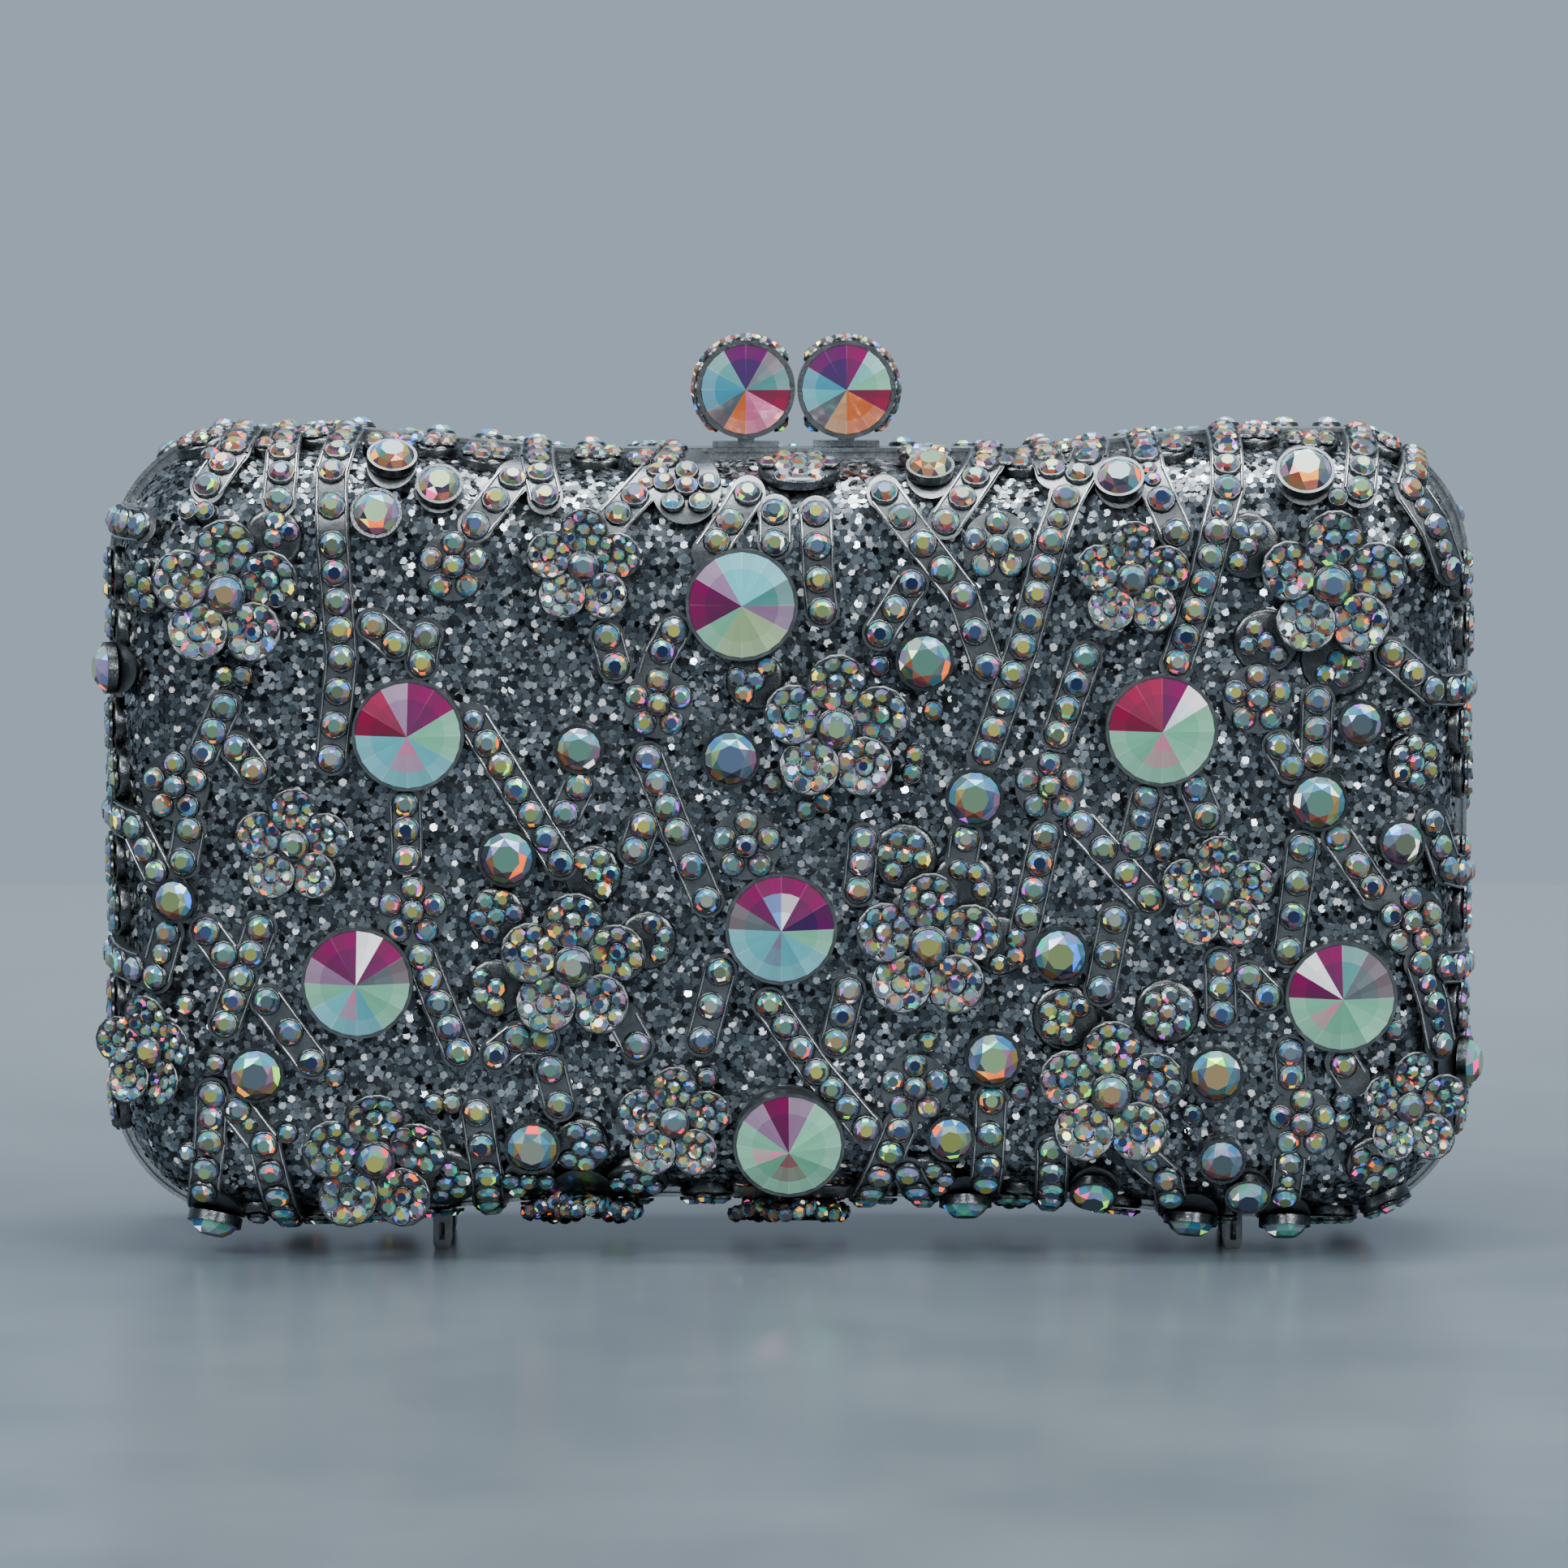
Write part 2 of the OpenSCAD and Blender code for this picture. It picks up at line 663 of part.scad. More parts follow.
module rib_stones() {
  for (rib = rib_shares, i = [1 : len(rib) - 1])
    stone_row(place(rib[i - 1]), place(rib[i]), i == 1 ? 0 : 1);
}

module star_stones() {
  for (p = star_shares)
    on_cage(place(p), stone_gap) {
      small_stone(star_stone_d);
      for (k = [1 : star_count])
        rotate([0, 0, k * 360 / star_count])
        translate([0, star_ring_r, 0])
        small_stone(star_stone_d);
    }
}

module flower_base(size) {
  cylinder(r = boss_r * size, h = boss_h * size);
  for (k = [1 : petal_count])
    rotate([0, 0, k * 360 / petal_count])
    translate([0, petal_out * size, petal_rise * size])
    rotate([petal_lean, petal_twist, 0])
    translate([0, 0, -petal_t * size / 2])
    cylinder(r = petal_r * size, h = petal_t * size);
}

module flowers() {
  for (p = flower_shares)
    on_cage(place(p), seat_gap)
    flower_base(1);
  for (p = small_flower_shares)
    on_cage(place(p), seat_gap)
    flower_base(small_flower_share);
}

module flower_centres() {
  for (p = flower_shares)
    on_cage(place(p), seat_gap + stone_gap + boss_h)
    small_stone(centre_d);
  for (p = small_flower_shares)
    on_cage(place(p), seat_gap + stone_gap + boss_h * small_flower_share)
    small_stone(centre_d * small_flower_share);
}

// Cup with a flat floor; the stone stands in it up to its rim.
module cup(r, h) {
  difference() {
    cylinder(r = r + cup_wall, h = h);
    translate([0, 0, cup_floor])
    cylinder(r = r + cup_gap, h = h);
  }
}

module large_cups() {
  for (p = large_shares)
    on_cage(place(p), seat_gap)
    cup(large_d / 2, large_cup_h);
}

module large_stones() {
  for (p = large_shares)
    on_cage(place(p), seat_gap + cup_floor + cup_gap)
    pointed_stone(large_d / 2, large_cup_h - cup_floor, large_point);
}

module pointed_stone(r, seat, point) {
  cylinder(r = r, h = seat);
  translate([0, 0, seat])
  cylinder(r1 = r, r2 = 0, h = point, $fn = facet_count);
}

module medium_cups() {
  for (p = medium_shares)
    on_cage(place(p), seat_gap)
    cup(p[2] * medium_d / 2, medium_cup_h);
}

module medium_stones() {
  for (p = medium_shares)
    on_cage(place(p), seat_gap + cup_floor + cup_gap) {
      r = p[2] * medium_d / 2;
      cylinder(r = r, h = medium_cup_h - cup_floor);
      translate([0, 0, medium_cup_h - cup_floor])
      cylinder(r1 = r, r2 = r * stone_table_share, h = r * medium_crown_share);
    }
}

// One hinge leaf in the middle: flange under the frame, tangs and knuckles round the axis.
module hinge_leaf(side, slots) {
  translate([-hinge_l / 2, 0, 0])
  difference() {
    union() {
      translate([0, side > 0 ? parting_gap / 2 : -frame_d, leaf_top_z - leaf_t])
      cube([hinge_l, frame_d - parting_gap / 2, leaf_t]);
      for (k = slots) {
        translate([k * slot_pitch, 0, hinge_z])
        rotate([0, 90, 0])
        cylinder(r = knuckle_r, h = knuckle_w);
        translate([
          k * slot_pitch,
          side > 0 ? parting_gap / 2 : -parting_gap / 2 - leaf_t,
          hinge_z
        ])
        cube([knuckle_w, leaf_t, leaf_top_z - leaf_t / 2 - hinge_z]);
      }
    }
    translate([-over, 0, hinge_z])
    rotate([0, 90, 0])
    cylinder(r = pin_r + pin_gap, h = hinge_l + 2 * over);
  }
}

module hinge_pin() {
  color("#b9bcc0")
  translate([-hinge_l / 2, 0, hinge_z])
  rotate([0, 90, 0])
  cylinder(r = pin_r, h = hinge_l);
}

// Profile of a foot: a slotted post with a round end and a flat tread.
module foot_profile() {
  difference() {
    union() {
      translate([-foot_w / 2, foot_w / 2 - tread_cut])
      square([foot_w, case_lift + corner_r]);
      translate([0, foot_w / 2 - tread_cut])
      circle(foot_w / 2);
    }
    translate([-slot_w / 2, foot_w / 2])
    square([slot_w, slot_h]);
    translate([-foot_w, -foot_w])
    square([2 * foot_w, foot_w]);
  }
}

// Two feet, their tops cut to the glitter cover between the ribs of the cage.
module feet() {
  difference() {
    for (share = foot_shares)
      translate([share * case_w / 2, -centre_z, foot_y - foot_l / 2])
      linear_extrude(foot_l)
      foot_profile();
    pan(-cage_t, -over);
  }
}

// Saddle on the top of a frame, with the groove that holds the foot of the arm.
module saddle() {
  difference() {
    translate([-saddle_w / 2, -frame_d, saddle_base_z])
    cube([saddle_w, clasp_l, saddle_h]);
    translate([0, over, arm_z])
    rotate([90, 0, 0])
    cylinder(r = arm_foot_r + pin_gap, h = frame_d + 2 * over);
  }
}

module clasp_arm() {
  translate([0, -parting_gap / 2, arm_z])
  rotate([90, 0, 0])
  cylinder(r = arm_foot_r, h = arm_l);
  translate([-arm_w / 2, -parting_gap / 2 - arm_l, arm_z])
  cube([arm_w, arm_l, arm_reach]);
}

module clasp_drum() {
  difference() {
    translate([0, drum_l / 2, drum_z])
    rotate([90, 0, 0])
    cylinder(r = drum_r, h = drum_l);
    for (sy = [-1, 1])
      translate([0, sy * (drum_l / 2 - drum_seat), drum_z])
      rotate([-sy * 90, 0, 0])
      cylinder(r = drum_stone_d / 2 + cup_gap, h = drum_seat + over);
    translate([0, cup_gap - parting_gap / 2, arm_z])
    rotate([90, 0, 0])
    cylinder(r = arm_foot_r + cup_gap, h = arm_l + 2 * cup_gap);
    translate([-arm_w / 2 - cup_gap, -parting_gap / 2 - arm_l - cup_gap, arm_z])
    cube([arm_w + 2 * cup_gap, arm_l + 2 * cup_gap, arm_reach + cup_gap]);
    translate([
      -arm_foot_r - cup_gap,
      -parting_gap / 2 - arm_l - cup_gap,
      saddle_base_z
    ])
    cube([2 * (arm_foot_r + cup_gap), arm_l + 2 * cup_gap, arm_z - saddle_base_z]);
  }
}

module clasp_stones() {
  for (sy = [-1, 1])
    translate([0, sy * (drum_l / 2 - drum_seat + cup_gap), drum_z])
    rotate([-sy * 90, 0, 0])
    pointed_stone(drum_stone_d / 2, drum_seat, drum_point);
}

// The two sides of the clasp are alike and turned to each other.
module front_clasp() {
  translate([clasp_x - drum_pitch / 2, 0, 0])
  children();
}

module back_clasp() {
  translate([clasp_x + drum_pitch / 2, 0, 0])
  rotate([0, 0, 180])
  children();
}

module front_frame() {
  color("#b9bcc0")
  front_half()
  frame_ring();
}

module front_shell() {
  color("#8f9296")
  front_half()
  skin(shell_o, shell_o - shell_t);
}

module front_glitter_cover() {
  color("#6d7176")
  front_half()
  skin(cover_o, cover_o - cover_t);
}

module front_lining() {
  color("#2b2c30")
  front_half()
  skin(lining_o, hollow_o);
}

module front_cage() {
  color("#a3a6ab")
  front_half()
  cage();
}

module front_rib_stones() {
  color("#dfe4ea")
  front_half()
  rib_stones();
}

module front_star_stones() {
  color("#dfe4ea")
  front_half()
  star_stones();
}

module front_flowers() {
  color("#a3a6ab")
  front_half()
  flowers();
}

module front_flower_centres() {
  color("#3c4148")
  front_half()
  flower_centres();
}

module front_medium_cups() {
  color("#a3a6ab")
  front_half()
  medium_cups();
}

module front_medium_stones() {
  color("#7b838c")
  front_half()
  medium_stones();
}

module front_large_cups() {
  color("#a3a6ab")
  front_half()
  large_cups();
}

module front_large_stones() {
  color("#9fc7c9")
  front_half()
  large_stones();
}

module back_frame() {
  color("#b9bcc0")
  back_half()
  frame_ring();
}

module back_shell() {
  color("#8f9296")
  back_half()
  skin(shell_o, shell_o - shell_t);
}

module back_glitter_cover() {
  color("#6d7176")
  back_half()
  skin(cover_o, cover_o - cover_t);
}

module back_lining() {
  color("#2b2c30")
  back_half()
  skin(lining_o, hollow_o);
}

module back_cage() {
  color("#a3a6ab")
  back_half()
  cage();
}

module back_rib_stones() {
  color("#dfe4ea")
  back_half()
  rib_stones();
}

module back_star_stones() {
  color("#dfe4ea")
  back_half()
  star_stones();
}

module back_flowers() {
  color("#a3a6ab")
  back_half()
  flowers();
}

module back_flower_centres() {
  color("#3c4148")
  back_half()
  flower_centres();
}

module back_medium_cups() {
  color("#a3a6ab")
  back_half()
  medium_cups();
}

module back_medium_stones() {
  color("#7b838c")
  back_half()
  medium_stones();
}

module back_large_cups() {
  color("#a3a6ab")
  back_half()
  large_cups();
}

module back_large_stones() {
  color("#9fc7c9")
  back_half()
  large_stones();
}

module front_hinge_leaf() {
  color("#8f9296")
  hinge_leaf(-1, front_slots);
}

module back_hinge_leaf() {
  color("#8f9296")
  hinge_leaf(1, back_slots);
}

module front_feet() {
  color("#a3a6ab")
  front_half()
  feet();
}

module back_feet() {
  color("#a3a6ab")
  mirror([0, 1, 0])
  front_half()
  feet();
}

module front_clasp_saddle() {
  color("#b9bcc0")
  front_clasp()
  saddle();
}

module front_clasp_arm() {
  color("#b9bcc0")
  front_clasp()
  clasp_arm();
}

module front_clasp_drum() {
  color("#a3a6ab")
  front_clasp()
  clasp_drum();
}

module front_clasp_stones() {
  color("#c9a0b4")
  front_clasp()
  clasp_stones();
}

module back_clasp_saddle() {
  color("#b9bcc0")
  back_clasp()
  saddle();
}

module back_clasp_arm() {
  color("#b9bcc0")
  back_clasp()
  clasp_arm();
}

module back_clasp_drum() {
  color("#a3a6ab")
  back_clasp()
  clasp_drum();
}

module back_clasp_stones() {
  color("#c9a0b4")
  back_clasp()
  clasp_stones();
}

front_frame();
front_shell();
front_glitter_cover();
front_lining();
front_cage();
front_rib_stones();
front_star_stones();
front_flowers();
front_flower_centres();
front_medium_cups();
front_medium_stones();
front_large_cups();
front_large_stones();
front_hinge_leaf();
hinge_pin();
front_feet();
front_clasp_saddle();
back_frame();
back_shell();
back_glitter_cover();
back_lining();
back_cage();
back_rib_stones();
back_star_stones();
back_flowers();
back_flower_centres();
back_medium_cups();
back_medium_stones();
back_large_cups();
back_large_stones();
back_hinge_leaf();
back_feet();
back_clasp_saddle();
front_clasp_arm();
front_clasp_drum();
front_clasp_stones();
back_clasp_arm();
back_clasp_drum();
back_clasp_stones();
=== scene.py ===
import random
import bmesh
import bpy
from math import acos, atan2, copysign, cos, degrees, dist, hypot, pi, radians, sin, sqrt
from mathutils import Matrix, Vector


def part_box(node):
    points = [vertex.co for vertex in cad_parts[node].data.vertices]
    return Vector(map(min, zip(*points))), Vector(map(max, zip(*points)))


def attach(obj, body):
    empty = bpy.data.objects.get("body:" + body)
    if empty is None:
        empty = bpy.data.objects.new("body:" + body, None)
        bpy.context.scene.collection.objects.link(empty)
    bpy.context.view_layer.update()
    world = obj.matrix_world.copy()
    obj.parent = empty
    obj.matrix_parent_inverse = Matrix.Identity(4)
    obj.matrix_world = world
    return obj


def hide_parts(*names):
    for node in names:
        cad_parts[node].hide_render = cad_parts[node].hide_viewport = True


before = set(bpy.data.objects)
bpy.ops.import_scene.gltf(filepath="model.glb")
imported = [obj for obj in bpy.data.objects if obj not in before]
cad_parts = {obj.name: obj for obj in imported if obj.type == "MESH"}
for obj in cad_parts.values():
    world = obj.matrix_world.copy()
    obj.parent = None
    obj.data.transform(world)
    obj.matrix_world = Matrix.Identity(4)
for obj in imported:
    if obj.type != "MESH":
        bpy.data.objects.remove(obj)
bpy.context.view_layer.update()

mm = 0.001
random.seed(11)

# The case outline and side curve in mm, the same sizes as the CAD part.
case = {
    "width": 184, "height": 107.5, "corner": 18, "dip": 2.7, "flatWidth": 60, "topWidth": 116,
    "lift": 3.5, "frameDepth": 3.5, "wallRadius": 70, "wallDraft": radians(4),
    "wallTurn": radians(12), "edgeRadius": 12.5, "join": 0.05, "coverDrop": 1.85
}
wallDraft = case["wallDraft"]
wallTurn = case["wallTurn"]
halfWidth = case["width"] / 2
halfHeight = case["height"] / 2
wallR = case["wallRadius"]
edgeR = case["edgeRadius"]
cornerX = halfWidth - case["corner"]
cornerY = halfHeight - case["corner"]
levelY = halfHeight - case["dip"]
ridgeX = case["topWidth"] / 2
slope = atan2(case["dip"], ridgeX - case["flatWidth"] / 2)
wallU = wallR * cos(wallDraft)
wallZ = case["frameDepth"] - wallR * sin(wallDraft)
edgeU = wallU - (wallR - edgeR) * cos(wallTurn) - case["join"]
edgeZ = wallZ + (wallR - edgeR) * sin(wallTurn)
turnU = wallU - wallR * cos(wallTurn)
turnRun = wallR * (wallTurn - wallDraft)
flatRun = turnRun + edgeR * (pi / 2 - wallTurn)
centreZ = case["lift"] + halfHeight

# Sizes of the settings in mm. Each table gives places in thousandths of half the width and half the height,
# seen from the outside of a half.
cup = {"wall": 0.45, "seat": 0.05, "gap": 0.03}
large = {"size": 14, "height": 1.6, "point": 2.6}
largeShares = [
    (-68, 579), (-550, 256), (538, 268), (-625, -360), (-11, -225), (800, -395), (0, -758)
]

# The third value is a share of the full size of a medium stone.
medium = {"size": 6.9, "height": 1.3, "sinkShare": 0.16}
mediumShares = [
    (-575, 925, 0.84), (-505, 862, 0.78), (-595, 800, 0.86), (205, 898, 0.81), (478, 877, 0.84),
    (746, 895, 1), (-303, 221, 0.83), (-84, 199, 1), (196, 438, 1), (268, 100, 1), (766, 90, 1),
    (826, 285, 0.77), (-408, -49, 1), (-887, -156, 0.75), (884, -13, 0.8), (393, -291, 0.97),
    (296, -550, 0.97), (619, -590, 0.96), (-773, -590, 0.96), (-373, -767, 0.96), (235, -745, 0.81),
    (629, -801, 0.8), (445, -888, 0.81), (668, -888, 0.78), (590, -967, 0.92), (259, -921.5, 0.9),
    (-840, -965.5, 0.94), (727, -972, 0.88), (-983.5, 410, 0.88), (983.5, -580, 0.9)
]

flower = {
    "petal": 4.1, "out": 6.2, "thick": 0.9, "lean": 16, "twist": 7, "boss": 2.9, "bossHeight": 1.5,
    "centre": 4.6, "centreSink": 0.55, "centreRing": 0.96, "small": 0.78, "stone": 2.3, "ring": 0.98,
    "middleLift": -0.3, "wallBand": 6
}
flowerShares = [
    (-812, 606), (784, 628), (69, 273), (-312, -318), (202, -268), (467, -636), (-601, -797)
]
smallFlowerShares = [
    (-296, 674), (495, 642), (-717, -19), (620, -136), (-167, -708), (899, -674), (-924, -537), (0, -938.5),
    (-303, -925.6)
]
flowerSizes = [(s, 1) for s in flowerShares] + [(s, flower["small"]) for s in smallFlowerShares]

star = {"pad": 4.6, "ring": 3.1, "stone": 2.7, "middleLift": 0.35}
starShares = [
    (-484, 673), (-148, 862), (-189, 332), (-545, -184), (-62, -20), (377, 127), (300, 723), (677, 344),
    (902, -210), (183, -625), (745, -714), (-888, 126)
]

# A stretch of a rib counts as level where its ends lie this alike in from the outline.
ribs = {"width": 4.4, "stone": 3.2, "pitch": 3.55, "slack": 0.08, "space": 0.1, "lift": 0.03, "level": 0.05}
# Each rib as x, y, x, y and so on.
ribShares = [
    [-734, 1030, -734, 900, -736, 836], [-642, 1030, -661, 904, -658, 727, -646, 446, -662, 197],
    [-400, 885, -452, 774], [-376, 1030, -368, 942, -352, 843], [-150, 1030, -172, 935, -257, 783],
    [-59, 849, -115, 708], [-20, 805, -20, 731], [39, 801, 43, 641, 48, 563],
    [138, 851, 193, 729, 251, 601, 286, 424], [177, 631, 131, 507], [305, 1030, 290, 931, 226, 782],
    [371, 1030, 372, 950, 382, 905], [458, 1030, 440, 950, 400, 840, 378, 736, 338, 475, 282, 200],
    [512, 1030, 521, 903, 558, 756], [636, 1030, 633, 864, 617, 761, 598, 633, 560, 430],
    [840, 1030, 824, 860], [925, 965, 900, 860, 935, 770, 958, 663], [870, 456, 932, 365, 1030, 350],
    [428, 446, 389, 257], [-600, 527, -568, 480], [-524, 501, -530, 434], [-263, 499, -251, 426],
    [-166, 515, -188, 446, -197, 398], [-456, 290, -416, 179, -330, -63], [-304, 127, -323, 60],
    [-816, 324, -848, 205], [-868, 20, -877, -60], [-799, 223, -774, 167], [-1030, 60, -950, 19, -915, -94],
    [-901, -238, -920, -350], [-844, -233, -794, -350, -818, -463], [-766, -226, -779, -289],
    [-757, -407, -692, -560], [-555, 90, -553, -51], [-533, -297, -507, -413, -479, -534],
    [-425, -542, -394, -500, -357, -504], [-346, -578, -333, -666], [-204, 197, -162, 16, -119, -156],
    [-210, 30, -223, -31], [-100, -334, -126, -504], [-28, -415, 40, -583, 112, -727], [87, -382, 69, -508],
    [108, -6, 101, -130], [256, -2, 251, -55], [371, 4, 337, -263], [422, 34, 522, -152],
    [517, 106, 500, -14], [588, 121, 604, 54], [472, -204, 452, -378], [709, 227, 727, 175],
    [764, 340, 762, 199], [743, -25, 724, -281], [795, 0, 851, -138], [917, -315, 938, -419, 950, -523],
    [933, 35, 958, -84, 1030, -130], [625, -313, 627, -439], [666, -348, 693, -396], [727, -536, 729, -603],
    [728, -800, 727, -842, 715, -1030], [803, -561, 818, -603], [-453, -686, -440, -847, -438, -1030],
    [294, -655, 290, -822, 278, -1030], [383, -780, 383, -1030], [514, -801, 550, -857, 574, -1030],
    [162, -723, 147, -789, 90, -1030], [173, -845, 225, -1030], [-240, -455, -220, -518],
    [-838, -642, -841, -760, -866, -1030], [-800, -680, -762, -766, -730, -1030],
    [-790, 1030, -805, 960, -840, 870], [-1030, 780, -940, 770], [-1030, -300, -952, -335],
    [1030, -350, 954, -330]
]

# Patches of small stones between the castings. The third value is a radius in mm.
patchShares = [
    (-930, 623, 4), (-927, -48, 3), (-893, -450, 4), (-858, -554, 4), (-850, -807, 4), (-842, 808, 4.5),
    (-812, 943, 4), (-803, 440, 5), (-744, 742, 4), (-728, -108, 3.5), (-724, 623, 3), (-702, -747, 4),
    (-695, 541, 3), (-659, -598, 3.5), (-641, -882, 5), (-641, -18, 3.5), (-606, -689, 4), (-501, -868, 5),
    (-501, -703, 5), (-424, -375, 4), (-424, -196, 4), (-382, 692, 3.5), (-380, -868, 4), (-328, -450, 4.5),
    (-313, 523, 3), (-310, -896, 3.5), (-302, -777, 4), (-284, -92, 4), (-255, 607, 3.5), (-241, -450, 4),
    (-235, 774, 3), (-232, -645, 3.5), (-223, -882, 4.5), (-205, -257, 4), (-180, -554, 3),
    (-137, 892, 3.5), (-119, -598, 3.5), (-49, 390, 4), (-40, 171, 4), (15, 919, 5.5), (28, 113, 4.5),
    (88, -213, 4), (123, -837, 3.5), (133, 471, 4.5), (141, -375, 4), (158, 187, 4.5), (167, -48, 4.5),
    (192, 350, 4), (202, -868, 4), (202, -510, 3), (236, -361, 4.5), (254, -122, 4.5), (306, -271, 4),
    (350, -598, 4), (401, -450, 4.5), (419, 694, 3.5), (420, -779, 4), (445, 545, 3.5), (514, -807, 3.5),
    (524, 515, 3), (532, 782, 3), (541, -34, 3.5), (549, -436, 4.5), (549, -166, 3.5), (567, -659, 4.5),
    (567, 647, 3.5), (636, 10, 3.5), (662, 722, 4.5), (671, -196, 3.5), (688, -92, 3), (689, 485, 4.5),
    (723, -524, 2.5), (732, 768, 3.5), (792, 440, 5), (792, 842, 5), (828, -689, 4), (853, -821, 4),
    (871, -524, 4), (880, 694, 4.5), (889, 292, 2.5), (907, 185, 4), (932, -570, 3), (932, 917, 4)
]
# Patches along the walls, by hundredths of half the width or height.
wallSpots = {
    "top": (-86, -76, -68, -58, -52, -44, -28, -20, 20, 34, 42, 55, 68, 76, 87),
    "bottom": (-78, -68, -60, -52, -36, -24, -12, 12, 34, 48, 62, 80, 88),
    "side": (-70, -56, -44, -20, -8, 14, 26, 50, 64)
}


# Distance in from the outline at a point of the face, and the direction it grows in.
def edgeAt(x, y):
    qx, qy = abs(x) - cornerX, abs(y) - cornerY
    fromRidge, fromTop = ridgeX - abs(x), halfHeight - abs(y)
    side = halfWidth - abs(x)
    sloped = fromTop * cos(slope) - fromRidge * sin(slope)
    level = fromTop - case["dip"]
    top = fromTop if fromRidge < 0 else max(sloped, level)
    signX, signY = copysign(1, x), copysign(1, y)
    if qx > 0 and qy > 0:
        r = hypot(qx, qy)
        return case["corner"] - r, -signX * qx / r, -signY * qy / r
    if side < top:
        return side, -signX, 0
    if fromRidge > 0 and sloped > level:
        return sloped, signX * sin(slope), -signY * cos(slope)
    return top, 0, -signY


# The side curve at a distance u in from the outline: its lean, its height, and how far it has run over
# the bend. The last of the four goes back from a run to u.
def leanAt(u):
    if u < turnU:
        return acos(min(1, (wallU - u) / wallR))
    if u < edgeU:
        return acos((edgeU - u) / edgeR)
    return pi / 2


def riseAt(u):
    if u < turnU:
        return wallZ + wallR * sin(leanAt(u))
    return edgeZ + edgeR * sin(leanAt(u))


def runOf(u):
    if u < turnU:
        return wallR * (leanAt(u) - wallDraft)
    if u < edgeU:
        return turnRun + edgeR * (leanAt(u) - wallTurn)
    return flatRun + u - edgeU


def uOf(run):
    if run < turnRun:
        return wallU - wallR * cos(wallDraft + run / wallR)
    if run < flatRun:
        return edgeU - edgeR * cos(wallTurn + (run - turnRun) / edgeR)
    return edgeU + run - flatRun


# A place of a table, in mm.
def place(share):
    return share[0] / 1000 * halfWidth, share[1] / 1000 * halfHeight


def moved(x, y, z):
    return Matrix.Translation((x, y, z))


def turned(angle, axis):
    return Matrix.Rotation(angle, 4, axis)


def scaled(matrix, size):
    return matrix @ Matrix.Scale(size, 4)


# From a half's own plane (x right, y up, z out of the face, in mm) to the row frame in metres.
frontFrame = Matrix.Scale(mm, 4) @ moved(0, 0, centreZ) @ turned(pi / 2, "X")
halfFrame = {"front": frontFrame, "back": turned(pi, "Z") @ frontFrame}


# The outer face of the cage at a point, with z along its normal.
def seatOn(x, y, lift=0):
    u, dx, dy = edgeAt(x, y)
    u = max(u, 0)
    turn = atan2(-dy, -dx)
    at = moved(x, y, riseAt(u)) @ turned(turn, "Z")
    return at @ turned(pi / 2 - leanAt(u), "Y") @ turned(-turn, "Z") @ moved(0, 0, lift)


def seatPoint(x, y):
    return Vector((x, y, riseAt(max(edgeAt(x, y)[0], 0))))


def onHalf(side, x, y, lift=0):
    return halfFrame[side] @ seatOn(x, y, lift)


def hexColour(text):
    channels = [int(text[i:i + 2], 16) / 255 for i in (1, 3, 5)]
    return [c / 12.92 if c <= 0.04045 else ((c + 0.055) / 1.055) ** 2.4 for c in channels] + [1]


def addNode(tree, kind, settings=None, links=None, **values):
    node = tree.nodes.new("ShaderNode" + kind)
    for key, value in (settings or {}).items():
        setattr(node, key, value)
    for key, value in values.items():
        node.inputs[key.replace("_", " ")].default_value = value
    for key, source in (links or {}).items():
        tree.links.new(source, node.inputs[key])
    return node


def newMaterial(name):
    material = bpy.data.materials.new(name)
    material.use_nodes = True
    tree = material.node_tree
    tree.nodes.clear()
    return material, tree


def finishMaterial(tree, links, **values):
    shader = addNode(tree, "BsdfPrincipled", None, links, **values)
    addNode(tree, "OutputMaterial", links={"Surface": shader.outputs[0]})


def mapped(tree, source, **values):
    return addNode(tree, "MapRange", links={"Value": source}, **values).outputs[0]


def bumped(tree, source, height, strength):
    return addNode(tree, "Bump", links={"Height": source}, Distance=height * mm, Strength=strength).outputs[0]


# Metal with a cast grain of a given size: it moves the roughness and the height, and blends a dark and a
# light tone in coarse random patches.
plating = {"coarse": 6, "smoother": 0.08, "rougher": 0.12, "relief": 0.8}


def metalMaterial(name, light, dark, roughness, grain, height):
    material, tree = newMaterial(name)
    where = addNode(tree, "TexCoord").outputs["Object"]
    patchy = 1 / (grain * plating["coarse"] * mm)
    coarse = addNode(tree, "TexNoise", links={"Vector": where}, Scale=patchy, Detail=4.0)
    fine = addNode(tree, "TexNoise", links={"Vector": where}, Scale=1 / (grain * mm), Detail=3.0)
    tint = addNode(tree, "Mix", {"data_type": "RGBA"}, {0: coarse.outputs[0]})
    tint.inputs[6].default_value = hexColour(dark)
    tint.inputs[7].default_value = hexColour(light)
    least, most = roughness - plating["smoother"], roughness + plating["rougher"]
    rough = mapped(tree, fine.outputs[0], To_Min=least, To_Max=most)
    bump = bumped(tree, fine.outputs[0], height, plating["relief"])
    finishMaterial(tree, {"Base Color": tint.outputs[2], "Roughness": rough, "Normal": bump}, Metallic=1.0)
    return material


# Every facet has its own colour in the mesh. Those brighter than this glow a little: a painted glint,
# standing in for the lamp that the silver back of a cut stone throws forward.
paintedGlowFrom = 0.86


